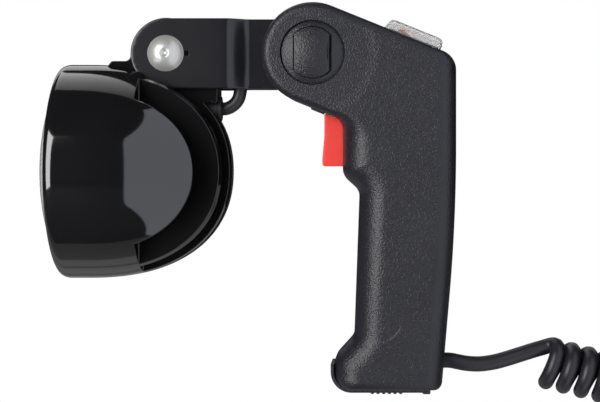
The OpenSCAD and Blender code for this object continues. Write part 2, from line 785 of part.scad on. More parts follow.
// Trigger: hinged on a pin at its top, with a return spring and a snap switch behind it
window_top = on_lower_edge(wall_x).y + 1;
trigger_pin_at = [wall_x + 6.2, window_top + 1.6];
trigger_eye_r = trigger_pin_d / 2 + 1.7;
trigger_flare = 1;
lip_x = trigger_face - trigger_flare;
pusher_x = wall_x + 10.8;
pusher_z = trigger_pin_at.y - 12;
module trigger_outline() {
    difference() {
        union() {
            polygon([
                [trigger_face, trigger_top], [trigger_face, trigger_top - 8], [lip_x, trigger_low + 2.6],
                [lip_x + 0.3, trigger_low + 0.8], [lip_x + 1.2, trigger_low], [wall_x + 6, trigger_low],
                [wall_x + 8, trigger_low + 2], [wall_x + 8, pusher_z - 3], [pusher_x, pusher_z - 2.2],
                [pusher_x, pusher_z + 2.2], [wall_x + 8, pusher_z + 3.4], [wall_x + 8, trigger_pin_at.y],
                [trigger_pin_at.x - trigger_eye_r, trigger_pin_at.y], [wall_x + 2.5, window_top - 0.9],
                [wall_x - 3, window_top - 0.9]
            ]);
            translate(trigger_pin_at) circle(r = trigger_eye_r);
        }
        translate(trigger_pin_at) circle(r = trigger_pin_d / 2 + run_fit);
    }
}
module trigger() {
    color(signal_red) difference() {
        pressed(-trigger_w / 2, trigger_w / 2) trigger_outline();
        rod_x(spring_front, wall_x + 20, spring_r + 0.8, 0, spring_z);
    }
}
module trigger_pin() {
    color(zinc) rod_y(trigger_pin_at, trigger_pin_d / 2, -trigger_w / 2 - 3.5, trigger_w / 2 + 3.5);
}
spring_r = 2.4;
spring_wire = 0.4;
spring_turns = 7;
spring_z = trigger_low + 4.4;
spring_front = wall_x + 5;
spring_back = wall_x + 18;
module trigger_spring() {
    color(zinc) translate([0, 0, spring_z]) rotate([0, 90, 0])
        spring(spring_r, spring_wire, spring_turns, spring_front, spring_back);
}
switch_half = 5;
switch_face = pusher_x + 2.1;
plunger_r = 1.2;
plunger_travel = 1.7;
plunger_bore = 5;
switch_depth = 10;
switch_low = pusher_z - 3.2;
switch_top = pusher_z + 13;
module micro_switch() {
    color([0.12, 0.12, 0.13]) difference() {
        block([switch_face, switch_face + switch_depth], [-switch_half, switch_half],
            [switch_low, switch_top]);
        rod_x(switch_face - 1, switch_face + plunger_bore, plunger_r + run_fit, 0, pusher_z);
    }
}
module switch_plunger() {
    color(signal_red) rod_x(pusher_x + slide_gap, switch_face + plunger_bore - plunger_travel - seat_gap,
        plunger_r, 0, pusher_z);
}

// Rocker switch under its boot, in the frame of the sloping edge
boot_s = [25.4, 25.4 + boot_len];
switch_mid = (boot_s[0] + boot_s[1]) / 2;
body_len = boot_len - 8;
body_s = [switch_mid - body_len / 2, switch_mid + body_len / 2];
body_depth = 14;
rocker_body_w = rocker_w + 3;
bezel_t = 1;
bezel_edge = 0.2;
boot_lean = 1.2;
bezel_s = [boot_s[0] + boot_wall + boot_lean + bezel_edge, boot_s[1] - boot_wall - bezel_edge];
bezel_half = boot_w / 2 - boot_wall - bezel_edge;
rocker_half_len = 8.3;
rocker_axis_h = hub_r - 1.8;
rocker_pin_r = 1;
pocket_h = hub_r - 6.2;
module rocker_body() {
    color([0.1, 0.1, 0.11]) on_slope() difference() {
        union() {
            block(body_s, [-rocker_body_w / 2, rocker_body_w / 2], [hub_r - body_depth, hub_r + bezel_t]);
            block(bezel_s, [-bezel_half, bezel_half], [hub_r, hub_r + bezel_t]);
        }
        block([switch_mid - rocker_half_len - 1, switch_mid + rocker_half_len + 1],
            [-rocker_w / 2 - slide_gap, rocker_w / 2 + slide_gap], [pocket_h, hub_r + bezel_t + 1]);
        rod_slope(switch_mid, rocker_axis_h, rocker_pin_r, rocker_body_w / 2 - 0.6);
    }
}
module rocker() {
    top = hub_r + 3;
    low = hub_r - 0.6;
    color(signal_red) on_slope() difference() {
        translate([0, rocker_w / 2, 0]) rotate([90, 0, 0]) linear_extrude(rocker_w) polygon([
            [switch_mid - rocker_half_len, hub_r + 0.2], [switch_mid - rocker_half_len + 2, top],
            [switch_mid - rocker_half_len + 2.8, top], [switch_mid, hub_r + 0.7],
            [switch_mid + rocker_half_len - 0.6, low], [switch_mid + rocker_half_len, low - 0.8],
            [switch_mid + 3, rocker_axis_h - 2], [switch_mid - 3, rocker_axis_h - 2]
        ]);
        rod_slope(switch_mid, rocker_axis_h, rocker_pin_r + run_fit, rocker_w);
    }
}
module rocker_pin() {
    color(zinc) on_slope() rod_slope(switch_mid, rocker_axis_h, rocker_pin_r, rocker_body_w / 2 - 0.6);
}
// Rounded pad on the slope, shrunk by an inset on all sides but the bottom
boot_round = 2.6;
module boot_form(inset, low) {
    x0 = boot_s[0] + inset;
    x1 = boot_s[1] - inset;
    x2 = x0 + boot_lean;
    top = hub_r + boot_h - inset;
    chamfer = boot_round * 0.3;
    translate([0, boot_w / 2 - inset, 0]) rotate([90, 0, 0]) linear_extrude(boot_w - 2 * inset) {
        polygon([
            [x0, low], [x2, top - boot_round], [x2 + chamfer, top - chamfer], [x2 + boot_round, top],
            [x1 - boot_round, top], [x1 - chamfer, top - chamfer], [x1, top - boot_round], [x1, low]
        ]);
    }
}
module switch_boot() {
    color(milky) on_slope() difference() {
        boot_form(0, hub_r);
        boot_form(boot_wall, hub_r - 1);
    }
}

// Wires in the handle, [x, z] in the side plane, from one terminal to the next
wire_r = 1.1;
wire_end = 0.2;
switch_back = switch_face + switch_depth + wire_end;
lead_end = bolt + lead_route[len(lead_route) - 1];
wire_runs = [
    [[clamp_x + 2, cord_z], [clamp_x - 3, cord_z], [0, -40], [0, -20], [2, 5], [3, 25], [3, 40],
        [1.5, pusher_z - 3], [switch_back + 3, pusher_z + 1], [switch_back, pusher_z + 1]],
    [[switch_back, pusher_z + 9], [switch_back + 3, pusher_z + 9], rocker_terminal(4) - [1, 8],
        rocker_terminal(4) - 4 * slope_up, rocker_terminal(4) - wire_end * slope_up],
    [rocker_terminal(-4) - wire_end * slope_up, rocker_terminal(-4) - 3 * slope_up, lead_end + [9, -1],
        lead_end + [4, 0.4], lead_end + [wire_end, 0.02]]
];
function rocker_terminal(s) = hub + (switch_mid + s) * slope_along + (hub_r - body_depth) * slope_up;
module inner_wires() {
    color(copper_red) for (run = wire_runs)
        tube([for (p = run) in_side_plane(p)], wire_r, 6);
}

// Cord: a clamp inside the foot, a plain tail, the curls and a plug
module cord_clamp() {
    color(black_plastic) difference() {
        block([clamp_x, clamp_x + clamp_len], [-clamp_half[0], clamp_half[0]],
            [cord_z - clamp_half[1], cord_z + clamp_half[1]]);
        rod_x(clamp_x + 2, clamp_x + clamp_len + 1, cord_d / 2, 0, cord_z);
        rod_x(clamp_x - 1, clamp_x + 3, wire_r + seat_gap, 0, cord_z);
    }
}
// Places along the tail's middle, [x, z]
tail_route = [
    [clamp_x + 2, cord_z], [14, cord_z], [20.5, cord_z], [24.5, -51.7], [29, -52.5], [35, -52.7],
    [41.5, -51.8], [47.5, -50.2], [53.2, -48.4]
];
tail_end = tail_route[len(tail_route) - 1];
tail_dir = unit(tail_end - tail_route[len(tail_route) - 2]);
module cord_tail() {
    color(black_rubber) tube([for (p = tail_route) in_side_plane(p)], cord_d / 2, 10);
}

// Curls: the middle line of the coil runs level, bends down and hangs
level_curls = 5;
level_fall = 14;
bend_r = 95;
coil_start = tail_end + [10.4, -3.2];
coil_skew = 14;
bend_curls = bend_r * (90 - level_fall) * PI / 180 / bend_pitch;
all_curls = level_curls + bend_curls + hanging_curls;
bend_start = coil_start + level_curls * curl_pitch * [cos(level_fall), -sin(level_fall)];
bend_centre = bend_start - bend_r * [sin(level_fall), cos(level_fall)];
hang_start = bend_centre + [bend_r, 0];
// Fall of the coil's middle line at a curl, in degrees below level
function fall_at(u) = u < level_curls ? level_fall
    : min(90, level_fall + (u - level_curls) * bend_pitch / bend_r * 180 / PI);
function coil_middle(u) =
    u < level_curls ? coil_start + u * curl_pitch * [cos(level_fall), -sin(level_fall)]
    : u < level_curls + bend_curls ? bend_centre + bend_r * [sin(fall_at(u)), cos(fall_at(u))]
    : hang_start - [0, (u - level_curls - bend_curls) * curl_pitch];
function coil_point(u) = let (
    a = 360 * (u - 0.25),
    lean = fall_at(u) + coil_skew * (1 - smooth((u - 1) / 8)),
    out = [sin(lean), cos(lean)],
    m = coil_middle(u) + curl_d / 2 * cos(a) * out
) [m.x, -curl_d / 2 * sin(a), m.y];
curl_steps = 8;
blend_in = 0.75;
lead_in_speed = 32;
blend_out = 0.75;
curl_foot = 10;
function lead_in(u) = in_side_plane(tail_end + tail_dir * (cord_d + lead_in_speed * u));
function lead_out(u) = let (m = coil_middle(u)) [m.x, 0, m.y];
function curl_point(u) = let (
    start_share = smooth(u / blend_in),
    end_share = smooth((u - all_curls + blend_out) / blend_out),
    p = mix(lead_in(u), coil_point(u), start_share)
) mix(p, lead_out(u), end_share);
curl_count = ceil(all_curls * curl_steps);
plug_top = coil_middle(all_curls) - [0, curl_foot];
curl_points = concat(
    [in_side_plane(tail_end)],
    [for (i = [0:curl_count]) curl_point(all_curls * i / curl_count)],
    [in_side_plane(plug_top)]
);
least_gap = min([
    for (i = [0:len(curl_points) - 1], j = [i + curl_steps / 2 + 1:1:len(curl_points) - 1])
        norm(curl_points[i] - curl_points[j])
]) - cord_d;
cord_length = sum_steps(curl_points) + sum_steps([for (p = tail_route) in_side_plane(p)]);
function sum_steps(p, i = 1) = i >= len(p) ? 0 : norm(p[i] - p[i - 1]) + sum_steps(p, i + 1);
module cord_curl() {
    echo("least gap between the curls", least_gap);
    echo("length of the cord along its middle", cord_length);
    color(black_rubber) tube(curl_points, cord_d / 2, 6);
}

// Plug for a 12 V socket, hanging with its tip down
plug_z = plug_top.y;
sleeve_len = 24;
sleeve_top_r = cord_d / 2 + 1.4;
sleeve_low_r = cord_d / 2 + 3.4;
hand_r = plug_d / 2 + 3;
barrel_r = plug_d / 2;
barrel_top = plug_z - sleeve_len - hand_len;
barrel_low = barrel_top - barrel_len;
cap_len = 9;
cap_band = 4;
cap_low = barrel_low - cap_len;
cap_end_r = tip_d / 2 + 2.5;
tip_out = 5;
module turned_in_plug() {
    translate([plug_top.x, 0, 0]) rotate_extrude() children();
}
module plug_sleeve() {
    top = plug_z;
    foot = plug_z - sleeve_len;
    color(black_rubber) turned_in_plug()
        polygon([
            [0, top], [sleeve_top_r, top], [sleeve_top_r + 0.3, top - 1], [sleeve_low_r, foot], [0, foot]
        ]);
}
module plug_body() {
    shoulder = plug_z - sleeve_len;
    color(black_satin) difference() {
        turned_in_plug() polygon([
            [0, shoulder], [sleeve_low_r + 1, shoulder], [hand_r - 1, shoulder - 8], [hand_r, shoulder - 14],
            [hand_r, barrel_top + 8], [hand_r + 0.8, barrel_top + 2], [hand_r, barrel_top],
            [barrel_r, barrel_top], [barrel_r, barrel_low], [0, barrel_low]
        ]);
        translate([plug_top.x, 0, barrel_low - 1]) cylinder(r = tip_bore_r, h = spring_room + 1);
        for (side = [-1, 1])
            translate([plug_top.x + side * (barrel_r - contact_depth / 2), 0, barrel_low + contact_up])
                cube([contact_depth + 0.01, contact_w + 2 * seat_gap, contact_h + 2 * seat_gap],
                    center = true);
    }
}
tip_bore_r = tip_d / 2 + 1.2;
spring_room = 16;
contact_w = 5;
contact_h = 13;
contact_depth = 3;
contact_up = 15;
contact_bulge = 0.5;
module plug_contacts() {
    color(zinc) for (side = [-1, 1])
        translate([plug_top.x, 0, barrel_low + contact_up]) scale([side, 1, 1])
            translate([0, contact_w / 2, 0]) rotate([90, 0, 0]) linear_extrude(contact_w)
                polygon([
                    [barrel_r - contact_depth, -contact_h / 2], [barrel_r - 0.4, -contact_h / 2],
                    [barrel_r + contact_bulge, -1.5], [barrel_r + contact_bulge, 1.5],
                    [barrel_r - 0.4, contact_h / 2], [barrel_r - contact_depth, contact_h / 2]
                ]);
}
module plug_cap() {
    color(black_satin) turned_in_plug() polygon([
        [tip_d / 2 + run_fit, barrel_low], [barrel_r, barrel_low], [barrel_r, barrel_low - cap_band],
        [barrel_r - 1, barrel_low - cap_band - 1], [cap_end_r, cap_low], [tip_d / 2 + run_fit, cap_low]
    ]);
}
tip_flange = 1.6;
flange_r = tip_bore_r - run_fit;
flange_low = barrel_low + 0.01;
tip_low = cap_low - tip_out;
module plug_tip() {
    color(brass) turned_in_plug() polygon([
        [0, flange_low + tip_flange], [flange_r, flange_low + tip_flange], [flange_r, flange_low],
        [tip_d / 2, flange_low], [tip_d / 2, tip_low + 2], [tip_d / 2 - 0.7, tip_low + 0.6],
        [tip_d / 2 - 2, tip_low], [0, tip_low]
    ]);
}
module plug_spring() {
    color(zinc) translate([plug_top.x, 0, 0])
        spring(tip_bore_r - 1, 0.4, 7, barrel_low + tip_flange, barrel_low + spring_room);
}

head_housing();
lens();
lens_seal();
reflector();
led_board();
led_emitters();
board_screws();
cable_gland();
lead_cores();
lamp_lead();
bracket_near();
bracket_far();
tilt_bolt();
tilt_nut();
tilt_washer();
tilt_discs();
hub_bolt();
hub_nut();
hub_sleeve();
hub_discs();
hub_cap_near();
hub_cap_far();
handle_half_near();
handle_half_far();
shell_screws();
base_cover();
trigger();
trigger_pin();
trigger_spring();
micro_switch();
switch_plunger();
rocker_body();
rocker();
rocker_pin();
switch_boot();
inner_wires();
cord_clamp();
cord_tail();
cord_curl();
plug_sleeve();
plug_body();
plug_contacts();
plug_cap();
plug_tip();
plug_spring();
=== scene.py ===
# %% [markdown]
# # Dressing a hand-held searchlight
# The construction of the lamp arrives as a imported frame: every piece at its real size, in metres, in one
# shared frame. X runs from the lens (-X) to the back of the grip (+X), Z is up and the origin is the middle
# of the grip. This lesson adds the looks, cell by cell: camera, finishes, mouldings, castings, springs, cord
# and studio.

# %% The fixed frame
import json
import math

import bmesh
import bpy
import numpy as np
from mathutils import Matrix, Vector
from mathutils.geometry import delaunay_2d_cdt


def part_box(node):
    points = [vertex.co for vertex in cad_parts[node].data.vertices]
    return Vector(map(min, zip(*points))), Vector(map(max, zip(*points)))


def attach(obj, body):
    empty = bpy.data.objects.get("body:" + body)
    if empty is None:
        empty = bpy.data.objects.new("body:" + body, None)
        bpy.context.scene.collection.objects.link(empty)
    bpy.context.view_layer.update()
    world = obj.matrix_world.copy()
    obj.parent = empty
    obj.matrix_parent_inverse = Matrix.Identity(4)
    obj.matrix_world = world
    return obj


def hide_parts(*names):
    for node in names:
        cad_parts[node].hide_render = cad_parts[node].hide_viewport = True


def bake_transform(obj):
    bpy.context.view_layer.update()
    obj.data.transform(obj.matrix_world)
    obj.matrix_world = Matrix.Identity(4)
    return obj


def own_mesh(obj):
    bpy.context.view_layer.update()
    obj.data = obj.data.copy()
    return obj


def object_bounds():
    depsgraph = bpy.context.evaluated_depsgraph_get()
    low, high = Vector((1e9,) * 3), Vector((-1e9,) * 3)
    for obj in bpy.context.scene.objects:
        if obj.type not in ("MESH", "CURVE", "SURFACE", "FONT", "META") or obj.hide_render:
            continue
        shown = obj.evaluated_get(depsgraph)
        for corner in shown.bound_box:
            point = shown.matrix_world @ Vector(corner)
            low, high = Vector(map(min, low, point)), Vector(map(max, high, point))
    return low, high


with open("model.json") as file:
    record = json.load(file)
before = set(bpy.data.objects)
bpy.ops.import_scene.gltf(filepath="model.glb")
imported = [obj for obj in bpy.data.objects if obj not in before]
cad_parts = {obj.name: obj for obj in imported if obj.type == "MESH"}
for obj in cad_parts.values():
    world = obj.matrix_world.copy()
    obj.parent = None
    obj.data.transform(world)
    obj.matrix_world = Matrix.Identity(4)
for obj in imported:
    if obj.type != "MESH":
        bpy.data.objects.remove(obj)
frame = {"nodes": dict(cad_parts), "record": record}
cad_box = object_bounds()
MM = 0.001
QUARTER = math.pi / 2
SIDES = (("near", -1), ("far", 1))


def in_scene(name, data):
    """A new object with this data, linked to the scene."""
    made = bpy.data.objects.new(name, data)
    bpy.context.scene.collection.objects.link(made)
    return made


print("nodes:", len(frame["nodes"]))

# %% [markdown]
# ## Camera
# The photograph looks square at the left side of the lamp, so the camera looks along +Y. One pixel covers
# 0.465 mm in the plane through the middle of the handle, and so 0.46 mm on its near side. The camera stands
# as far off as the bulge of the lamp's rim asks for: seen from close by, its near edge swings out further
# than its top. Its axis meets the object at the grip, so the picture is a part of a wider view (lens shift).

# %% Camera at the photograph's place
PHOTO_W, PHOTO_H = 600, 402
MM_PER_PIXEL = 0.465
ORIGIN_PIXEL = (405.0, 250.5)
AXIS_PIXEL = (405.9, 167.4)
CAMERA_AWAY = 750.0
SENSOR_W = 36.0
CLIP_START = 0.01

camera_data = bpy.data.cameras.new("camera")
camera = in_scene("camera", camera_data)
camera.location = (
    (AXIS_PIXEL[0] - ORIGIN_PIXEL[0]) * MM_PER_PIXEL * MM,
    -CAMERA_AWAY * MM,
    (ORIGIN_PIXEL[1] - AXIS_PIXEL[1]) * MM_PER_PIXEL * MM,
)
camera.rotation_euler = (QUARTER, 0, 0)
camera_data.sensor_width = SENSOR_W
camera_data.lens = SENSOR_W * CAMERA_AWAY / (PHOTO_W * MM_PER_PIXEL)
camera_data.shift_x = (PHOTO_W / 2 - AXIS_PIXEL[0]) / PHOTO_W
camera_data.shift_y = (AXIS_PIXEL[1] - PHOTO_H / 2) / PHOTO_W
camera_data.clip_start = CLIP_START
bpy.context.scene.camera = camera
print("focal length:", round(camera_data.lens, 1), "mm")

# %% [markdown]
# ## Shader helpers
# Every finish here is made of nodes. A few helpers keep the node code readable: add a node and feed its
# inputs, stretch a value, combine two values, and start a material from its Principled shader.

# %% Node helpers
def feed(tree, node, inputs):
    """Set inputs of a node to plain values, or link them from the sockets of other nodes."""
    for socket, value in inputs.items():
        if isinstance(value, bpy.types.NodeSocket):
            tree.links.new(value, node.inputs[socket])
        else:
            node.inputs[socket].default_value = value


def add_node(tree, kind, inputs=None, **settings):
    """A new node of this kind in the tree, with its settings and with its inputs fed."""
    node = tree.nodes.new(kind)
    for name, value in settings.items():
        setattr(node, name, value)
    feed(tree, node, inputs or {})
    return node


def noise(tree, where, scale, detail=2):
    inputs = {"Vector": where, "Scale": scale, "Detail": detail}
    return add_node(tree, "ShaderNodeTexNoise", inputs).outputs["Fac"]


def remap(tree, value, low, high, to_low=0, to_high=1):
    """A value stretched from one range to another and held within it."""
    inputs = {"Value": value, "From Min": low, "From Max": high, "To Min": to_low, "To Max": to_high}
    return add_node(tree, "ShaderNodeMapRange", inputs).outputs["Result"]


def combine(tree, operation, a, b):
    return add_node(tree, "ShaderNodeMath", {0: a, 1: b}, operation=operation).outputs[0]


def new_finish(name, colour, roughness, **sockets):
    """A material whose Principled shader has these plain values. Returns material, tree and shader."""
    material = bpy.data.materials.new(name)
    material.use_nodes = True
    tree = material.node_tree
    shader = tree.nodes["Principled BSDF"]
    others = {socket.replace("_", " "): value for socket, value in sockets.items()}
    feed(tree, shader, {"Base Color": (*colour, 1), "Roughness": roughness, **others})
    return material, tree, shader


def new_group(name, inputs, outputs):
    """A node group with a Vector and these inputs, a colour where the default is a tuple, and these outputs.
    Returns the group, its given sockets and its output node."""
    group = bpy.data.node_groups.new(name, "ShaderNodeTree")
    group.interface.new_socket("Vector", in_out="INPUT", socket_type="NodeSocketVector")
    for socket, value in inputs.items():
        kind = "NodeSocketColor" if isinstance(value, tuple) else "NodeSocketFloat"
        group.interface.new_socket(socket, in_out="INPUT", socket_type=kind).default_value = value
    for socket, kind in outputs.items():
        group.interface.new_socket(socket, in_out="OUTPUT", socket_type=kind)
    return group, add_node(group, "NodeGroupInput").outputs, add_node(group, "NodeGroupOutput")

# %% [markdown]
# ## Effects that several finishes share
# Moulded plastic and cast, painted metal both carry a fine surface grain, and both pick up a little dust
# and rub. Each effect is one node group with its own inputs, so that plastic, paint and rubber can use it
# at their own scale and strength. Scales count waves or cells in a metre. A range is the stretch of a
# pattern over which its effect grows from none to full.

# %% Grain, and dust with rubbed patches
GRAIN_RANGE, SWELL_SHARE = (0.3, 0.7), 0.31
PATCH_SCALE, PATCH_RANGE = 45, (0.35, 0.75)
SPECK_SCALE, SPECK_RANGE = 420, (0.1, 0.04)
RARE_SCALE, RARE_RANGE = 120, (0.6, 0.68)


def make_grain_group():
    """Fine raised grain on a slower swell: a height for the bump."""
    group, given, out = new_group("surface_grain", {"Scale": 1500.0, "Coarse": 0.4},
                                  {"Height": "NodeSocketFloat"})
    where, scale = given["Vector"], given["Scale"]
    fine = remap(group, noise(group, where, scale, 1), *GRAIN_RANGE)
    swell = noise(group, where, combine(group, "MULTIPLY", scale, SWELL_SHARE), 3)
    mixed = add_node(group, "ShaderNodeMix", {"Factor": given["Coarse"], "A": fine, "B": swell},
                     data_type="FLOAT")
    feed(group, out, {"Height": mixed.outputs["Result"]})
    return group


def make_dust_group():
    """A base colour with soft uneven patches and small pale specks, and a mask for the roughness."""
    group, given, out = new_group(
        "dust_and_rub",
        {"Color": (0.05, 0.05, 0.05, 1), "Dust": (0.3, 0.29, 0.27, 1), "Patches": 0.15, "Specks": 0.3},
        {"Color": "NodeSocketColor", "Mask": "NodeSocketFloat"})
    where = given["Vector"]
    patch = remap(group, noise(group, where, PATCH_SCALE, 5), *PATCH_RANGE)
    dots = add_node(group, "ShaderNodeTexVoronoi", {"Vector": where, "Scale": SPECK_SCALE}, feature="F1")
    speck = remap(group, dots.outputs["Distance"], *SPECK_RANGE)
    few = combine(group, "MULTIPLY", speck, remap(group, noise(group, where, RARE_SCALE), *RARE_RANGE))
    mask = combine(group, "MAXIMUM", combine(group, "MULTIPLY", patch, given["Patches"]),
                   combine(group, "MULTIPLY", few, given["Specks"]))
    dusty = add_node(group, "ShaderNodeMix", {"Factor": mask, "A": given["Color"], "B": given["Dust"]},
                     data_type="RGBA")
    feed(group, out, {"Color": dusty.outputs["Result"], "Mask": mask})
    return group


GRAIN = make_grain_group()
DUST = make_dust_group()
print("groups:", GRAIN.name, DUST.name)

# %% [markdown]
# ## Finishes
# One function turns a plain Principled shader into a worn one: colour through the dust group, roughness
# through its mask, and bump through the grain group. Plastics, paints, rubbers and metals then differ only
# in their numbers, which sit together in one table with a row for each material slot of the record.

# %% A finish with grain, dust and uneven gloss
GRAIN_DEPTH = 0.2 * MM
EDGE_SAMPLES = 6


def worn_finish(name, colour, roughness, grain, dust=None, spread=0.15, edge=None, **sockets):
    """A finish with an uneven surface. grain is (scale, coarse, strength), dust is (colour, patches, specks)
    and edge is how far, in millimetres, the light runs over sharp edges as if they were rounded."""
    material, tree, shader = new_finish(name, colour, roughness, **sockets)
    # every piece sits at the origin, so object coordinates are places on the lamp in metres
    where = add_node(tree, "ShaderNodeTexCoord").outputs["Object"]
    if dust:
        dust_colour, patches, specks = dust
        inputs = {"Vector": where, "Color": (*colour, 1), "Dust": (*dust_colour, 1), "Patches": patches,
                  "Specks": specks}
        dusty = add_node(tree, "ShaderNodeGroup", inputs, node_tree=DUST).outputs
        gloss = remap(tree, dusty["Mask"], 0, 1, roughness, min(1, roughness + spread))
        feed(tree, shader, {"Base Color": dusty["Color"], "Roughness": gloss})
    scale, coarse, strength = grain
    inputs = {"Vector": where, "Scale": scale, "Coarse": coarse}
    height = add_node(tree, "ShaderNodeGroup", inputs, node_tree=GRAIN).outputs["Height"]
    inputs = {"Strength": strength, "Distance": GRAIN_DEPTH, "Height": height}
    bump = add_node(tree, "ShaderNodeBump", inputs)
    if edge:
        rounded = add_node(tree, "ShaderNodeBevel", {"Radius": edge * MM}, samples=EDGE_SAMPLES)
        feed(tree, bump, {"Normal": rounded.outputs["Normal"]})
    feed(tree, shader, {"Normal": bump.outputs["Normal"]})
    return material


PALE_DUST = (0.3, 0.29, 0.28)
FINISH = {
    "handle_plastic": worn_finish(
        "handle_plastic", (0.0128, 0.013, 0.0175), 0.36, (1300, 0.12, 0.6),
        ((0.042, 0.043, 0.052), 0.12, 0.8)),
    "head_paint": worn_finish(
        "head_gloss", (0.0070, 0.0072, 0.0080), 0.07, (260, 0.9, 0.02), (PALE_DUST, 0.008, 0.25),
        spread=0.2, edge=0.5, IOR=1.8),
    "bracket_paint": worn_finish(
        "bracket_satin", (0.0088, 0.0092, 0.0122), 0.22, (1400, 0.5, 0.04), (PALE_DUST, 0.02, 0.3),
        edge=0.4, Specular_IOR_Level=0.6),
    "zinc_steel": worn_finish(
        "zinc_steel", (0.66, 0.66, 0.63), 0.34, (700, 0.8, 0.08), ((0.55, 0.53, 0.5), 0.5, 0.0),
        Metallic=0.6),
    "cord_rubber": worn_finish(
        "cord_rubber", (0.0125, 0.0127, 0.017), 0.38, (1800, 0.5, 0.08), (PALE_DUST, 0.02, 0.15)),
    "seal_rubber": worn_finish("seal_rubber", (0.02, 0.02, 0.022), 0.6, (1500, 0.5, 0.15)),
    "trigger_red": worn_finish(
        "trigger_red", (0.82, 0.038, 0.026), 0.38, (1600, 0.5, 0.05), ((0.7, 0.05, 0.04), 0.4, 0.0),
        edge=0.4),
    "switch_black": worn_finish("switch_black", (0.012, 0.012, 0.013), 0.35, (1500, 0.5, 0.1)),
    "plug_plastic": worn_finish(
        "plug_plastic", (0.022, 0.022, 0.024), 0.4, (1800, 0.5, 0.12), (PALE_DUST, 0.03, 0.3)),
    "friction_disc": worn_finish("fibre_disc", (0.035, 0.032, 0.028), 0.8, (900, 0.6, 0.3)),
    "wire_insulation": worn_finish("wire_red", (0.5, 0.05, 0.03), 0.4, (900, 0.5, 0.05)),
    "board_aluminium": worn_finish(
        "board_white", (0.78, 0.78, 0.74), 0.4, (900, 0.6, 0.05), ((0.6, 0.6, 0.55), 0.3, 0.0)),
    "contact_nickel": worn_finish(
        "contact_nickel", (0.66, 0.64, 0.6), 0.22, (500, 0.8, 0.06), ((0.5, 0.45, 0.4), 0.3, 0.0),
        Metallic=1.0),
    "tip_brass": worn_finish(
        "tip_brass", (0.72, 0.53, 0.24), 0.22, (500, 0.8, 0.06), ((0.5, 0.35, 0.15), 0.35, 0.0),
        Metallic=1.0),
    "reflector_metal": worn_finish(
        "reflector_metal", (0.86, 0.87, 0.88), 0.06, (900, 0.6, 0.02), ((0.8, 0.8, 0.8), 0.2, 0.0),
        Metallic=1.0),
    "led_phosphor": worn_finish(
        "led_phosphor", (0.85, 0.62, 0.08), 0.25, (900, 0.6, 0.03), ((0.7, 0.5, 0.06), 0.2, 0.0)),
    "boot_clear": worn_finish(
        "boot_milky", (0.9, 0.9, 0.9), 0.2, (700, 0.6, 0.01), ((0.6, 0.6, 0.58), 0.2, 0.0),
        Transmission_Weight=0.79, IOR=1.41),
    "lens_clear": new_finish(
        "lens_clear", (0.78, 0.77, 0.75), 0.03, Transmission_Weight=1.0, IOR=1.49)[0],
}
print("finishes:", len(FINISH))

# %% [markdown]
# ## Dressing the carried-over pieces
# Most pieces of the frame have the right shape already and only need a finish. The record says which
# material slot each node has, and a loop hands the slot's finish to the node.

# %% Finishes on the frame's own pieces
def give_finish(piece, material):
    piece.data.materials.clear()
    piece.data.materials.append(material)


for part in frame["record"]["subparts"]:
    give_finish(frame["nodes"][part["node"]], FINISH[part["material_slot"]])

# %% [markdown]
# ## Shape helpers
# The mouldings and castings are rebuilt here with finer curves than the solids need, at the same places and
# sizes. All lengths below are millimetres. The helpers cover what the pieces have in common: flat outlines
# with rounded corners, plates with rounded edges, turned forms, and pieces cut out of each other.

# %% Meshes, cuts and settled pieces
SMOOTH_UNDER = math.radians(32)


def add_piece(name, points, faces):
    """A closed mesh object from points in millimetres, with its faces turned outward."""
    mesh = bpy.data.meshes.new(name)
    mesh.from_pydata([tuple(p) for p in np.asarray(points, float) * MM], [], faces)
    shape = bmesh.new()
    shape.from_mesh(mesh)
    bmesh.ops.recalc_face_normals(shape, faces=shape.faces)
    shape.to_mesh(mesh)
    shape.free()
    return in_scene(name, mesh)


def drop(piece):
    """Remove a piece and its mesh."""
    mesh = piece.data
    bpy.data.objects.remove(piece)
    bpy.data.meshes.remove(mesh)


def as_mesh(thing):
    """The shape of an object, with its modifiers or its curve's bevel, as a new mesh."""
    return bpy.data.meshes.new_from_object(thing.evaluated_get(bpy.context.evaluated_depsgraph_get()))


def carve(piece, tool, operation="DIFFERENCE"):
    """Cut a tool out of a piece, or add it, and drop the tool."""
    modifier = piece.modifiers.new("carve", "BOOLEAN")
    modifier.object = tool
    modifier.operation = operation
    modifier.solver = "EXACT"
    shaped = as_mesh(piece)
    piece.modifiers.clear()
    plain, piece.data = piece.data, shaped
    bpy.data.meshes.remove(plain)
    drop(tool)


def merged(name, pieces):
    """Several closed pieces as one object."""
    shape = bmesh.new()
    for piece in pieces:
        shape.from_mesh(piece.data)
        drop(piece)
    mesh = bpy.data.meshes.new(name)
    shape.to_mesh(mesh)
    shape.free()
    return in_scene(name, mesh)


def dress(piece, slot):
    """The finish of a slot on a piece, with smooth shading up to its sharp edges."""
    give_finish(piece, FINISH[slot])
    piece.data.shade_smooth()
    piece.data.set_sharp_from_angle(angle=SMOOTH_UNDER)


def settle(piece, body, slot, *nodes):
    """Give a piece the finish of a slot, hang it on its body and hide the nodes it stands for."""
    dress(piece, slot)
    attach(piece, body)
    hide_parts(*nodes)
    print(piece.name, len(piece.data.vertices), "points")


# %% Outlines in the side plane, as arrays of (x, z)
NO_SPOTS = np.zeros((0, 2))


def full_turn(sides):
    return np.arange(sides) * 2 * math.pi / sides


def quarter_turns(steps):
    """Angles from 0 to a right angle in even steps."""
    return [QUARTER * k / steps for k in range(steps + 1)]


def arc(middle, radius, turns):
    return np.asarray(middle) + radius * np.stack([np.cos(turns), np.sin(turns)], 1)


def circle(middle, radius, sides=96):
    return arc(middle, radius, full_turn(sides))


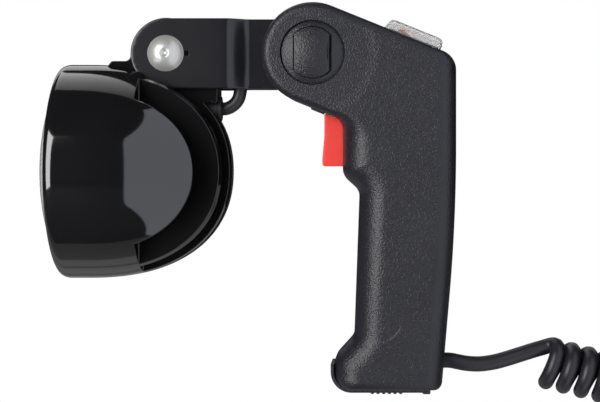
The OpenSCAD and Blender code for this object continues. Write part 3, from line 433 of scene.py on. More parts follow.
def rounded_corners(corners, steps=6):
    """An outline through corners, each (x, z, radius), with an arc at every corner."""
    places = [np.array(c[:2], float) for c in corners]
    line = []
    for i, here in enumerate(places):
        before = places[i - 1] - here
        after = places[(i + 1) % len(places)] - here
        lengths = np.linalg.norm(before), np.linalg.norm(after)
        before, after = before / lengths[0], after / lengths[1]
        half = math.acos(max(-1, min(1, float(before @ after)))) / 2
        reach = min(corners[i][2] / math.tan(half), 0.49 * min(lengths))
        if reach < 0.01:
            line.append(here)
            continue
        start, end = here + before * reach, here + after * reach
        middle = here + (before + after) / np.linalg.norm(before + after) * reach / math.cos(half)
        for t in np.arange(steps + 1) / steps:
            out = (start * (1 - t) + end * t) - middle
            line.append(middle + out / np.linalg.norm(out) * reach * math.tan(half))
    return np.array(line)


def moved_in(ring, distance):
    """The outline with every edge moved inward by the distance."""
    ahead = np.roll(ring, -1, 0) - ring
    ahead /= np.maximum(np.linalg.norm(ahead, axis=1, keepdims=True), 1e-9)
    normal = np.stack([-ahead[:, 1], ahead[:, 0]], 1)
    both = normal + np.roll(normal, 1, 0)
    return ring + distance * both * 2 / np.maximum((both ** 2).sum(1, keepdims=True), 1.0)


def inside(ring, spots, margin):
    """Which spots lie inside the outline, and further from its points than the margin."""
    x, z = spots[:, :1], spots[:, 1:]
    ax, az = ring[:, 0], ring[:, 1]
    bx, bz = np.roll(ax, -1), np.roll(az, -1)
    rise = np.where(bz == az, 1e-12, bz - az)
    crossing = ((az > z) != (bz > z)) & (x < (bx - ax) * (z - az) / rise + ax)
    away = np.sqrt((x - ax) ** 2 + (z - az) ** 2).min(1)
    return (crossing.sum(1) % 2 == 1) & (away > margin)


def grid_spots(ring, spacing):
    """Evenly spaced spots inside an outline."""
    low, high = ring.min(0), ring.max(0)
    x, z = np.meshgrid(np.arange(low[0], high[0], spacing), np.arange(low[1], high[1], spacing))
    spots = np.stack([x.ravel(), z.ravel()], 1)
    return spots[inside(ring, spots, 0.6 * spacing)]


# %% Solids from outlines and profiles
def joined_rings(rings, count):
    """Quads between every two neighbours in a row of rings that have an equal count of points."""
    return [[a + j, a + (j + 1) % count, a + count + (j + 1) % count, a + count + j]
            for a in range(0, (rings - 1) * count, count) for j in range(count)]


def capped(ring, spots, first, extra):
    """Triangles over an outline and the spots in it, whose points are numbered from first and from extra."""
    count = len(ring)
    flat = [Vector(p) for p in np.vstack([ring, spots])]
    edges = [(i, (i + 1) % count) for i in range(count)]
    _, _, faces, origin, _, _ = delaunay_2d_cdt(flat, edges, [], 1, 1e-6)
    given = [[origin[i][0] for i in face] for face in faces]
    return [[i + first if i < count else i - count + extra for i in face] for face in given]


def plate(name, ring, y0, y1, edge, spacing=None, steps=4, warp=None):
    """A flat piece between y0 and y1 with rounded edges. spacing puts points on its faces, warp bends it."""
    count = len(ring)
    turns = quarter_turns(steps) if edge else [0]
    half = [(edge * (1 - math.sin(t)), edge * (1 - math.cos(t))) for t in turns]
    layers = [(i, y0 + d) for i, d in half] + [(i, y1 - d) for i, d in reversed(half)]
    points = [np.insert(moved_in(ring, i), 1, y, axis=1) for i, y in layers]
    faces = joined_rings(len(layers), count)
    rim = moved_in(ring, edge)
    spots = grid_spots(rim, spacing) if spacing else NO_SPOTS
    extra = len(layers) * count
    for first, y in ((0, y0), (extra - count, y1)):
        points.append(np.insert(spots, 1, y, axis=1))
        faces += capped(rim, spots, first, extra)
        extra += len(spots)
    points = np.vstack(points)
    return add_piece(name, warp(points) if warp else points, faces)


def rod_y(place, radius, y0, y1):
    return plate("rod", circle(place, radius), y0, y1, 0)


def block(x, y, z):
    return plate("block", np.array([(x[0], z[0]), (x[1], z[0]), (x[1], z[1]), (x[0], z[1])], float), *y, 0)


def depths(side, a, b):
    """Two distances from the middle plane as y values in order, on the near (-1) or the far side (1)."""
    return sorted((side * a, side * b))


def turned(name, profile, put, sides=96):
    """A turned form: profile points are (radius, along), and put places (out, up, along) in the frame."""
    points, rings, faces = [], [], []
    for radius, along in profile:
        turns = full_turn(sides if radius > 1e-6 else 1)
        rings.append(list(range(len(points), len(points) + len(turns))))
        points += [put(radius * math.cos(t), radius * math.sin(t), along) for t in turns]
    for a, b in zip(rings, rings[1:]):
        for k in range(sides):
            quad = [a[k % len(a)], a[(k + 1) % sides % len(a)], b[(k + 1) % sides % len(b)], b[k % len(b)]]
            faces.append(list(dict.fromkeys(quad)))
    return add_piece(name, points, [f for f in faces if len(f) > 2])


def about_y(place):
    """Turned about a cross axis through (x, z)."""
    return lambda out, up, along: (place[0] + out, along, place[1] + up)


def about_x(x, z):
    """Turned about a lengthwise axis at the height z, from x on."""
    return lambda out, up, along: (x + along, out, z + up)


def rod_x(x, z, radius, length, sides):
    return turned("rod", [(0, 0), (radius, 0), (radius, length), (0, length)], about_x(x, z), sides)


# %% Round curves
def ramp(value, start, end):
    """0 before the start, 1 past the end and even between. The end may be the lower one."""
    return np.clip((value - start) / (end - start), 0, 1)


def smooth_ramp(value, start, end):
    t = ramp(value, start, end)
    return t * t * (3 - 2 * t)


def side_point(p):
    return np.array([p[0], 0.0, p[1]])


def rounded_route(points, steps=6):
    """Catmull-Rom line through given points."""
    p = [2 * points[0] - points[1], *points, 2 * points[-1] - points[-2]]
    line = []
    for a, b, c, d in zip(p, p[1:], p[2:], p[3:]):
        for t in np.arange(steps) / steps:
            line.append(0.5 * (2 * b + (c - a) * t + (2 * a - 5 * b + 4 * c - d) * t ** 2
                               + (3 * b - a - 3 * c + d) * t ** 3))
    return line + [points[-1]]


def tube(name, line, radius, sides=16):
    """A round tube along a line in the side plane, with flat ends."""
    line = np.array(line)
    ahead = np.gradient(line, axis=0)
    ahead /= np.linalg.norm(ahead, axis=1, keepdims=True)
    across = np.array([0.0, 1.0, 0.0])
    points = [p + radius * (math.cos(t) * across + math.sin(t) * np.cross(a, across))
              for p, a in zip(line, ahead) for t in full_turn(sides)]
    last = (len(line) - 1) * sides
    ends = [list(range(sides)), list(range(last, last + sides))]
    return add_piece(name, points, joined_rings(len(line), sides) + ends)


def round_curve(name, line, diameter, slot, sides=8):
    """A curve object of one open spline with a round section and the finish of a slot."""
    data = bpy.data.curves.new(name, "CURVE")
    data.dimensions = "3D"
    data.bevel_depth = diameter / 2 * MM
    data.bevel_resolution = sides
    data.use_fill_caps = True
    spline = data.splines.new("POLY")
    spline.points.add(len(line) - 1)
    for point, place in zip(spline.points, line):
        point.co = (*(place * MM), 1)
    spline.use_smooth = True
    data.materials.append(FINISH[slot])
    return in_scene(name, data)


# %% [markdown]
# ## Handle halves
# The side view of the handle is an outline of eleven rounded corners. Each half is that outline drawn in and
# rounded over towards its side face, with the same outline inside for the hollow. The side face dips a
# little round the hub, which shows in the photograph as a soft band across the shoulder, and it stands out
# a little below a curved crease above the foot.

# %% Outline of the handle
HUB, HUB_R = np.array([-42.1, 90.9]), 23.2
BOLT = np.array([-109.6, 90.9])
SLOPE = math.radians(22)
ALONG = np.array([math.cos(SLOPE), -math.sin(SLOPE)])
UP = np.array([math.sin(SLOPE), math.cos(SLOPE)])
HALF_W, WALL = 18.0, 2.4
GRIP_FRONT, GRIP_BACK, FRONT_LEAN = -22.0, 23.5, 0.036
WALL_X, NOSE_X, DROP = -28.8, -32.5, 63.1
BACK_LEAN, BACK_BEND_Z = 0.086, 15.0
FLARE_TOP, NOSE_TOP = 24.5 - DROP, 14.5 - DROP
TRIGGER_OUT, TRIGGER_H, TRIGGER_W, TRIGGER_GAP = 8.4, 23.0, 13.0, 1.8
TRIGGER_FACE = WALL_X - TRIGGER_OUT
SHOULDER_GAP, SHOULDER_H, WINDOW_OVER = 4.1, 7, 1


def on_edge(x, side):
    """Place on the sloping upper (+1) or lower (-1) edge."""
    start = HUB + side * HUB_R * UP
    return start + ALONG * ((x - start[0]) / ALONG[0])


def grip_front(z):
    """Place on the leaning front of the grip."""
    return (GRIP_FRONT + FRONT_LEAN * z, z)


TRIGGER_TOP = on_edge(TRIGGER_FACE, -1)[1] - TRIGGER_GAP
TRIGGER_LOW = TRIGGER_TOP - TRIGGER_H
SHOULDER_TOP = TRIGGER_LOW - SHOULDER_GAP
SHOULDER_LOW = SHOULDER_TOP - SHOULDER_H
WINDOW_TOP = on_edge(WALL_X, -1)[1] + WINDOW_OVER

# place, radius, steps in the arc, rounding of the side face along the edge that follows
HANDLE_CORNERS = [
    ((NOSE_X, -DROP), 8, 10, 4), ((GRIP_BACK - BACK_LEAN * (BACK_BEND_Z + DROP), -DROP), 3.7, 8, 8),
    ((GRIP_BACK, BACK_BEND_Z), 800, 16, 8), (on_edge(GRIP_BACK, 1), 9.2, 12, 3.7),
    (HUB + HUB_R * (UP - ALONG), HUB_R, 30, 3.7), (HUB - HUB_R * (UP + ALONG), HUB_R, 30, 3.7),
    (on_edge(WALL_X, -1), 6.5, 12, 13), ((WALL_X, SHOULDER_TOP), 8, 10, 13),
    (grip_front(SHOULDER_LOW), 6, 12, 13), (grip_front(FLARE_TOP), 7, 14, 13),
    ((NOSE_X, NOSE_TOP), 9, 12, 12),
]


def edge_normal(i):
    a, b = (np.array(HANDLE_CORNERS[k % len(HANDLE_CORNERS)][0]) for k in (i, i + 1))
    d = (b - a) / np.linalg.norm(b - a)
    return np.array([-d[1], d[0]])


def handle_ring(inset, turn):
    """The outline moved in by a wall and rounded over by an angle: places (x, z) and depths y, as arrays."""
    places, deep = [], []
    share = 1 - math.cos(turn)
    for i, (place, radius, steps, after) in enumerate(HANDLE_CORNERS):
        rounds = [max(1, r - inset) for r in (HANDLE_CORNERS[i - 1][3], after)]
        a, b = (inset + r * share for r in rounds)
        n1, n2 = edge_normal(i - 1), edge_normal(i)
        c = float(n1 @ n2)
        corner = np.array(place) + (a * (n1 - c * n2) + b * (n2 - c * n1)) / (1 - c * c)
        bend = math.atan2(n1[0] * n2[1] - n1[1] * n2[0], c)
        r = max(0.3, radius - (a + b) / 2) if bend > 0 else -(radius + (a + b) / 2)
        middle = corner + (n1 + n2) * (r / (1 + c))
        for t in np.arange(steps + 1) / steps:
            cos, sin = math.cos(bend * t), math.sin(bend * t)
            places.append(middle - r * np.array([n1[0] * cos - n1[1] * sin, n1[0] * sin + n1[1] * cos]))
            rounding = rounds[0] + (rounds[1] - rounds[0]) * t
            deep.append(HALF_W - inset - rounding * (1 - math.sin(turn)))
    return np.array(places), np.array(deep)


# %% One half of the shell
ROUND_STEPS, INNER_STEPS = 10, 4
HUB_DIP, DIP_START, DIP_END = 0.32, 24.4, 31.2
CREASE, CREASE_R, CREASE_RISE = np.array([-14.9, -27.1]), 14.4, 0.2
# the foot's rise grows and fades between these distances below the crease, and these turns along it
CREASE_GROWS, CREASE_FADES = (0, 0.6), (12, 1)
CREASE_STARTS, CREASE_ENDS = (-112, -96), (-8, -48)
CREASE_ROWS = (-0.3, 0, 0.3, 0.6, 0.9)
PARTING_CHAMFER = 0.25
FACE_GRID, ROW_STEP, ROW_POINTS, RIM_MARGIN = 1.8, 0.6, 220, 0.7


def set_back(places):
    """How far the side face lies back: the dip round the hub less the rise of the foot below its crease."""
    dip = HUB_DIP * (1 - smooth_ramp(np.linalg.norm(places - HUB, axis=1), DIP_START, DIP_END))
    out = places - CREASE
    below = np.linalg.norm(out, axis=1) - CREASE_R
    turn = np.degrees(np.arctan2(out[:, 1], out[:, 0]))
    rise = ramp(below, *CREASE_GROWS) * ramp(below, *CREASE_FADES)
    return dip - CREASE_RISE * rise * ramp(turn, *CREASE_STARTS) * ramp(turn, *CREASE_ENDS)


def face_spots(ring):
    """Spots on the side face: an even grid, and finer rows round the hub's dip and along the crease."""
    grid = grid_spots(ring, FACE_GRID)
    from_hub = np.linalg.norm(grid - HUB, axis=1)
    from_crease = np.linalg.norm(grid - CREASE, axis=1) - CREASE_R
    low = (grid[:, 1] < CREASE[1]) & (from_crease > -1) & (from_crease < 1.6)
    grid = grid[((from_hub < DIP_START - 1) | (from_hub > DIP_END + 1)) & ~low]
    rows = [circle(HUB, r, ROW_POINTS) for r in np.arange(DIP_START - 0.4, DIP_END + 0.9, ROW_STEP)]
    rows += [circle(CREASE, CREASE_R + r, ROW_POINTS)[ROW_POINTS // 2:] for r in CREASE_ROWS]
    rows = np.vstack(rows)
    return np.vstack([grid, rows[inside(ring, rows, RIM_MARGIN)]])


def shell(name, side):
    """Half of the hollow handle: -1 is the near half and 1 the far half."""
    flat, _ = handle_ring(0, 0)
    count = len(flat)
    inner = [handle_ring(WALL, turn) for turn in quarter_turns(INNER_STEPS)]
    layers = inner[::-1] + [
        (inner[0][0], np.zeros(count)), (moved_in(flat, PARTING_CHAMFER), np.zeros(count)),
        (flat, np.full(count, PARTING_CHAMFER)),
    ]
    for turn in quarter_turns(ROUND_STEPS):
        places, deep = handle_ring(0, turn)
        layers.append((places, deep - set_back(places) * math.sin(turn)))
    rim = layers[-1][0]
    spots = face_spots(rim)
    points = [np.insert(p, 1, side * y, axis=1) for p, y in layers]
    points.append(np.insert(spots, 1, side * (HALF_W - set_back(spots)), axis=1))
    all_rings = len(layers) * count
    faces = joined_rings(len(layers), count) + capped(layers[0][0], NO_SPOTS, 0, 0)
    return add_piece(name, np.vstack(points), faces + capped(rim, spots, all_rings - count, all_rings))


# %% Cuts in the shell
CHEEK_Y, CAP_FLOOR_Y, HEAD_POCKET_Y = 7.0, 15.0, 10.4
CAP_R, HEAD_POCKET_R, BOLT_HOLE_R = 14.8, 6.4, 3.05
STRIP_W, SWING_DOWN, SWING_UP, MOUTH_SLACK = 32.2, 20, 45, 3
MOUTH_SPREAD = math.degrees(math.asin(STRIP_W / 2 / (HUB_R - WALL)))
SWITCH_MID, SWITCH_LEN, SWITCH_HALF = 39.4, 20.4, 6.7
CORD_HOLE_R, CORD_HOLE_LEN, CORD_Z, CORD_EXIT_X = 3.65, 12, -51.0, 17.824
SCREWS = [(14.0, 58.0), (-12.0, 20.0), (10.5, -16.0), (-16.0, -44.0)]
SCREW_BOSS_R, SCREW_POCKET_R, SCREW_HEAD_Y, SCREW_R = 4.0, 3.3, 12.0, 1.6
# tools run past the side face and past the parting plane, and added pieces stop just short of that plane
PAST_FACE, PAST_PARTING, FROM_PARTING = 19, -1, 0.02
WINDOW_SIDE, WINDOW_DEEP, WINDOW_BELOW = 0.35, 0.6, 1.9
TAB_START, TAB_END, TAB_CHAMFER, TAB_OUT, TAB_HALF = 7.2, 14.2, 1.2, 0.8, 6


def on_slope(points):
    """From the frame of the sloping edge (along, across, out) to the lamp's frame."""
    p = np.asarray(points, float)
    flat = HUB + p[:, :1] * ALONG + p[:, 2:] * UP
    return np.stack([flat[:, 0], p[:, 1], flat[:, 1]], 1)


def stepped_bore(name, steps, side, place, sides=96):
    """A tool for a bore with steps (radius, y), from the side face through the parting plane."""
    first_r, last_r = steps[0][0], steps[-1][0]
    profile = [(0, PAST_FACE), (first_r, PAST_FACE), *steps, (last_r, PAST_PARTING), (0, PAST_PARTING)]
    return turned(name, [(r, side * y) for r, y in profile], about_y(place), sides)


def handle_half(name, side):
    half = shell(name, side)
    carve(half, rod_y(HUB, HUB_R - WALL / 2, *depths(side, HALF_W - WALL / 2, CHEEK_Y)), "UNION")
    tab = np.array([(TAB_START, -HUB_R + 1), (TAB_START + TAB_CHAMFER, -HUB_R - TAB_OUT),
                    (TAB_END, -HUB_R - TAB_OUT), (TAB_END, -HUB_R + 1)])
    carve(half, plate("tab", tab, *depths(side, FROM_PARTING, TAB_HALF), 0, warp=on_slope), "UNION")
    if side > 0:
        for place in SCREWS:
            carve(half, rod_y(place, SCREW_BOSS_R, FROM_PARTING, HALF_W - WALL / 2), "UNION")
    hub_steps = [(CAP_R, CAP_FLOOR_Y), (HEAD_POCKET_R, CAP_FLOOR_Y), (HEAD_POCKET_R, HEAD_POCKET_Y),
                 (BOLT_HOLE_R, HEAD_POCKET_Y)]
    carve(half, stepped_bore("hub_bore", hub_steps, side, HUB))
    swing = np.radians(np.linspace(-MOUTH_SPREAD - SWING_DOWN - MOUTH_SLACK,
                                   MOUTH_SPREAD + SWING_UP + MOUTH_SLACK, 48))
    mouth = np.vstack([[HUB], arc(HUB, HUB_R + 2, math.pi - swing)])[::-1]
    carve(half, plate("mouth", mouth, *depths(side, CHEEK_Y, PAST_PARTING), 0))
    reach = TRIGGER_W / 2 + WINDOW_SIDE
    window = block((TRIGGER_FACE - 3, WALL_X + WALL + WINDOW_DEEP), (-reach, reach),
                   (TRIGGER_LOW - WINDOW_BELOW, WINDOW_TOP))
    s0, s1 = SWITCH_MID - SWITCH_LEN / 2, SWITCH_MID + SWITCH_LEN / 2
    seat = np.array([(s0, HUB_R - 2 * WALL), (s1, HUB_R - 2 * WALL), (s1, HUB_R + 3), (s0, HUB_R + 3)])
    switch = plate("switch", seat, -SWITCH_HALF, SWITCH_HALF, 0, warp=on_slope)
    hole = rod_x(CORD_EXIT_X - CORD_HOLE_LEN / 2, CORD_Z, CORD_HOLE_R, CORD_HOLE_LEN, 48)
    cuts = [window, switch, hole]
    if side > 0:
        well = [(SCREW_POCKET_R, SCREW_HEAD_Y), (SCREW_R, SCREW_HEAD_Y)]
        cuts += [stepped_bore("screw_well", well, 1, p, 40) for p in SCREWS]
    carve(half, merged("cuts", cuts))
    return half


for name, side in SIDES:
    settle(handle_half("handle_" + name + "_shell", side), "handle", "handle_plastic", "handle_half_" + name)

# %% [markdown]
# ## Hub caps
# Each cap is a low dome sunk in its bore, so that its rim lies in shade. A panel with straight sides and
# round ends stands in a pocket of the dome: wide slits show at its sides and a fine line at its ends.

# %% Hub caps
DOME_TOP, DOME_FALL, DOME_POWER, DOME_STEPS = 19.7, 3.4, 2.0, 24
PANEL_W, PANEL_H, PANEL_RISE, SLIT, END_GAP = 16.4, 23.4, 0.15, 0.6, 0.3
PANEL_AHEAD, PANEL_EDGE, PANEL_GRID = 0.35, 0.35, 1.0
POCKET_Y, PANEL_BASE, PANEL_FLAT = 15.6, 15.3, 17.0
CAP_SLACK, CAP_LIFT = 0.06, 0.02


def dome_at(r):
    return DOME_TOP - DOME_FALL * (r / CAP_R) ** DOME_POWER


def panel_outline(side_gap, end_gap):
    """Outline of the panel about the middle of the cap, grown by a gap."""
    across, tall = PANEL_W / 2 + side_gap, PANEL_H / 2 + end_gap
    corner = math.acos(across / tall)
    top = arc((0, 0), tall, np.linspace(corner, math.pi - corner, 24))
    return np.vstack([top, -top])


def hub_cap(name, side):
    rim, base = CAP_R - CAP_SLACK, CAP_FLOOR_Y + CAP_LIFT
    profile = [(0, base), (rim, base)] + [(r, dome_at(r)) for r in rim * np.linspace(1, 0, DOME_STEPS + 1)]
    dome = turned("dome", [(r, side * y) for r, y in profile], about_y(HUB), 128)
    pocket = HUB + panel_outline(SLIT, END_GAP)
    carve(dome, plate("pocket", pocket, *depths(side, POCKET_Y, DOME_TOP + 1), 0))

    def domed(points):
        points = points.copy()
        rise = dome_at(np.hypot(points[:, 0], points[:, 2])) + PANEL_RISE - PANEL_FLAT
        points[:, 1] += np.where(side * points[:, 1] > PANEL_BASE + 0.5, side * rise, 0)
        points[:, 0] += HUB[0] - PANEL_AHEAD
        points[:, 2] += HUB[1]
        return points

    panel = plate("panel", panel_outline(0, 0), *depths(side, PANEL_BASE, PANEL_FLAT), PANEL_EDGE,
                  spacing=PANEL_GRID, warp=domed)
    return merged(name, [dome, panel])


for name, side in SIDES:
    settle(hub_cap("hub_cap_" + name + "_dish", side), "handle", "handle_plastic", "hub_cap_" + name)

# %% [markdown]
# ## Lamp head
# The head is one casting: a drum that closes to the rear as a flattened ellipse, with cooling slots cut from
# behind, and a tall lug between the bracket's plates. It is turned whole and then cut, as its mould is.

# %% Casting of the head
HEAD_R, HEAD_LEN, RIM_X, HEAD_Z = 49.4, 78.0, -158.0, 36.8
BOWL_START, BOWL_POWER, BOWL_STEPS = 12.0, 2 / 2.3, 60
RIM_ROUND, RIM_ROUND_LONG, RIM_STEPS, RIM_BREAK, DRUM_ROWS = 2.2, 4.0, 8, 0.3, (5, 8.5)
CAVITY_R, CAVITY_FLOOR, SEAT_R, SEAT_DEPTH = 44.8, 33.7, 47.0, 5.2
SLOT_FLOOR = 37.7
SLOTS = [(1.3, 6.4), (9.0, 18.4), (21.0, 34.0)]
LUG_HALF, BOSS_R, RELIEF_R, RELIEF_Y = 9.0, 16.5, 17.9, 12.8
PAD_AHEAD, PAD_BELOW, POST_BELOW, LUG_DEEP = 27.0, 3.4, 13.5, 30
POST_X, POST_LOW, GLAND_Z, GLAND_R, GLAND_LIP_R, CORE_R = -86.3, 61.6, 65.8, 4.7, 5.9, 2.2
in_head = about_x(RIM_X, HEAD_Z)

bowl = [(0, CAVITY_FLOOR), (CAVITY_R, CAVITY_FLOOR), (CAVITY_R, SEAT_DEPTH), (SEAT_R, SEAT_DEPTH),
        (SEAT_R, RIM_BREAK), (SEAT_R + RIM_BREAK, 0)]
bowl += [(HEAD_R - RIM_ROUND * (1 - math.sin(t)), RIM_ROUND_LONG * (1 - math.cos(t)))
         for t in quarter_turns(RIM_STEPS)]
bowl += [(HEAD_R, along) for along in DRUM_ROWS]
bowl += [(HEAD_R * max(0, math.cos(t)) ** BOWL_POWER,
          BOWL_START + (HEAD_LEN - BOWL_START) * math.sin(t) ** BOWL_POWER)
         for t in quarter_turns(BOWL_STEPS)]
bowl[-1] = (0, HEAD_LEN)
head = turned("head_casting", bowl, in_head, 256)
slots = [block((RIM_X + SLOT_FLOOR, RIM_X + HEAD_LEN + 1), depths(side, *slot),
               (HEAD_Z - HEAD_R - 1, HEAD_Z + HEAD_R + 1)) for slot in SLOTS for side in (-1, 1)]
carve(head, merged("slots", slots))
reliefs = [rod_y(BOLT, RELIEF_R, *depths(side, LUG_HALF, RELIEF_Y)) for side in (-1, 1)]
carve(head, merged("reliefs", reliefs))

pad_front, pad_top = BOLT[0] - PAD_AHEAD, BOLT[1] - PAD_BELOW
boss_front, post_top = BOLT[0] - BOSS_R, BOLT[1] - POST_BELOW
lug_back, lug_low = RIM_X + SLOT_FLOOR - 1, pad_top - LUG_DEEP
lug_ring = np.vstack([
    [(pad_front + 4, lug_low), (lug_back, lug_low), (lug_back, POST_LOW)],
    rounded_corners([(POST_X, POST_LOW, 1.5), (POST_X, post_top, 2.4), (POST_X - 6, post_top, 0)])[:-1],
    arc(BOLT, BOSS_R, np.radians(np.linspace(-55, 180, 48))),
    rounded_corners([
        (boss_front, BOLT[1] + 2, 0), (boss_front, pad_top, 3.0), (pad_front + 1.8, pad_top, 1.6),
        (pad_front, pad_top - 2.2, 1.0), (pad_front, pad_top - 8, 0),
    ])[1:],
])
lug = plate("lug", lug_ring, -LUG_HALF, LUG_HALF, 0)
carve(lug, rod_x(RIM_X, HEAD_Z, CAVITY_R + 1, CAVITY_FLOOR + 1, 96))
carve(head, lug, "UNION")
gland_bore = [(0, -10), (CORE_R, -10), (CORE_R, -7), (GLAND_R, -7), (GLAND_R, 0), (GLAND_LIP_R, 0),
              (GLAND_LIP_R, 3), (0, 3)]
bores = [rod_y(BOLT, BOLT_HOLE_R, -12, 12), turned("gland_bore", gland_bore, about_x(POST_X, GLAND_Z), 48)]
carve(head, merged("bores", bores))
settle(head, "head", "head_paint", "head_housing")

# %% Lens
LENS_RISE, LENS_T, SEAL_T, LENS_POWER, LENS_STEPS = 9.0, 2.6, 1.6, 2.8, 40
LENS_R, LENS_BREAK = SEAT_R - 0.05, 0.3
DOME_R = LENS_R - 1.8
UNDER_R = DOME_R - 1.4
lens_back = SEAT_DEPTH - SEAL_T
lens_front = lens_back - LENS_T
shares = np.arange(LENS_STEPS + 1) / LENS_STEPS
dome = [(DOME_R * t, lens_front - LENS_RISE * (1 - t ** LENS_POWER)) for t in shares]
under = [(r * UNDER_R / DOME_R, along + LENS_T) for r, along in reversed(dome)]
lens_rim = [(LENS_R - LENS_BREAK, lens_front), (LENS_R, lens_front + LENS_BREAK), (LENS_R, lens_back),
            (UNDER_R, lens_back)]
settle(turned("lens_dome", dome + lens_rim + under, in_head, 192), "head", "lens_clear", "lens")

# %% [markdown]
# ## Bracket and tilt bolt
# The bracket is a pair of pressed plates with round ends. Behind the tilt bolt both step inward to pass
# between the cheeks of the hub. The step is a bend that the flat plate is warped through, with soft corners.

# %% Bracket plates
PLATE_T, FRONT_GAP, REAR_GAP, THROUGH = 2.5, 19.0, 7.2, (-20, 20)
STEP_AT, STEP_LEN, BEND_SOFT = 29.2, 7.4, 0.8
PLATE_EDGE, PLATE_GRID = 0.6, 1.3
FEED_HOLE_X, FEED_HOLE_R = 9.5, 1.25


def soft_ramp(u):
    return (u + np.sqrt(u * u + BEND_SOFT ** 2)) / 2


def bracket_plate(name, side):
    front, rear = FRONT_GAP / 2, REAR_GAP / 2

    def stepped(points):
        points = points.copy()
        x = points[:, 0] - BOLT[0] - STEP_AT
        inward = (front - rear) / STEP_LEN * (soft_ramp(x) - soft_ramp(x - STEP_LEN))
        points[:, 1] -= side * inward
        return points

    r = STRIP_W / 2
    turns = np.linspace(QUARTER, 3 * QUARTER, 40)
    xs = np.linspace(BOLT[0], HUB[0], 120)[1:-1]
    low, high = (np.stack([xs, np.full(len(xs), BOLT[1] + up)], 1) for up in (-r, r))
    ring = np.vstack([arc(BOLT, r, turns), low, arc(HUB, -r, turns), high[::-1]])
    piece = plate(name, ring, *depths(side, front, front + PLATE_T), PLATE_EDGE, spacing=PLATE_GRID,
                  warp=stepped)
    holes = [rod_y(place, BOLT_HOLE_R, *THROUGH) for place in (HUB, BOLT)]
    if side < 0:
        holes.append(rod_y(BOLT + np.array([FEED_HOLE_X, 0]), FEED_HOLE_R, *THROUGH))
    carve(piece, merged("holes", holes))
    return piece


for name, side in SIDES:
    settle(bracket_plate("bracket_" + name + "_plate", side), "bracket", "bracket_paint", "bracket_" + name)

# %% Tilt bolt
BOLT_HEAD_R, BOLT_DOME, OUTER_Y, BOLT_END = 8.3, 4.2, 12.0, 20.1
BOLT_R, BOLT_TIP_R, BOLT_TIP = 2.95, 2.4, 0.6
BOLT_TOP, DIMPLE_R, DIMPLE_DEEP, DIMPLE_LIP = -OUTER_Y - BOLT_DOME, 2.2, 1.0, 0.12
DOME_RINGS, FIRST_RING = 38, 13
ball = (BOLT_HEAD_R ** 2 + BOLT_DOME ** 2) / (2 * BOLT_DOME)
bolt_profile = [(DIMPLE_R * t, BOLT_TOP + DIMPLE_LIP + DIMPLE_DEEP * (1 - t ** 2) ** 2)
                for t in np.linspace(0, 1, 8)]
for k in range(FIRST_RING, DOME_RINGS + 1):
    r = (BOLT_HEAD_R - 0.25) * k / DOME_RINGS
    bolt_profile.append((r, BOLT_TOP + ball - math.sqrt(ball ** 2 - r ** 2)))
bolt_profile += [(BOLT_HEAD_R, -OUTER_Y - 0.12), (BOLT_HEAD_R - 0.1, -OUTER_Y), (BOLT_R, -OUTER_Y),
                 (BOLT_R, BOLT_END - BOLT_TIP), (BOLT_TIP_R, BOLT_END), (0, BOLT_END)]
tilt_bolt = turned("tilt_bolt_dome", bolt_profile, about_y(BOLT), 128)
settle(tilt_bolt, "bracket", "zinc_steel", "tilt_bolt")

# %% Lead from the head to the bracket
LEAD_R = 3.05
LEAD_ROUTE = [
    (16.3, -25.1), (24.5, -25.1), (27.6, -24.6), (30.3, -22.9), (32.2, -20.3), (33, -17.2),
    (33.6, -14), (35.3, -11.2), (38, -9.6), (41.5, -9.2), (46, -9.3), (50.5, -9.7), (55, -10.1),
    (60, -10.6), (66, -10.9), (72, -10.8), (78, -10.2), (82, -9.8),
]
lead_places = [side_point(BOLT + np.array(p)) for p in LEAD_ROUTE]
lead_line = rounded_route(lead_places)
lead = tube("lamp_lead_sleeve", lead_line, LEAD_R)
dress(lead, "cord_rubber")
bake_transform(lead)
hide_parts("lamp_lead")
print("lead:", len(lead_line), "rings")

# %% [markdown]
# ## Trigger, switch boot and base cover
# The trigger is a pressed outline with soft edges. The boot over the rocker switch is a thin rubber shell,
# and the base cover a strip that follows the foot of the handle, with ridges for the thumb that slides it.

# %% Trigger
PIN, PIN_HOLE_R, PIN_EYE = np.array([WALL_X + 6.2, WINDOW_TOP + 1.6]), 1.55, 3.2
PUSHER_X, PUSHER_Z = WALL_X + 10.8, PIN[1] - 12
SPRING_R, SPRING_Z, WELL_LEN = 3.2, TRIGGER_LOW + 4.4, 16
lip_x, lever_back = TRIGGER_FACE - 1, WALL_X + 8
trigger_ring = rounded_corners([
    (TRIGGER_FACE, TRIGGER_TOP + 1.5, 0.6), (TRIGGER_FACE, TRIGGER_TOP - 9, 20),
    (lip_x, TRIGGER_LOW + 2.6, 6), (lip_x + 0.2, TRIGGER_LOW, 1.4),
    (lever_back, TRIGGER_LOW, 2), (lever_back, PUSHER_Z - 3, 0.5),
    (PUSHER_X, PUSHER_Z - 2.2, 0.6), (PUSHER_X, PUSHER_Z + 2.2, 0.6), (lever_back, PUSHER_Z + 3.4, 0.5),
    (PIN[0] + PIN_EYE, PIN[1] + PIN_EYE, 3.0), (PIN[0] - PIN_EYE, PIN[1] + PIN_EYE, 3.0),
    (PIN[0] - PIN_EYE, WINDOW_TOP - 0.9, 0.5), (WALL_X - 3, WINDOW_TOP - 0.1, 0.6),
])
trigger = plate("trigger_lever", trigger_ring, -TRIGGER_W / 2, TRIGGER_W / 2, 0.45, spacing=2.0)
carve(trigger, rod_y(PIN, PIN_HOLE_R, -9, 9))
carve(trigger, rod_x(WALL_X + 5, SPRING_Z, SPRING_R, WELL_LEN, 40))
settle(trigger, "trigger", "trigger_red", "trigger")

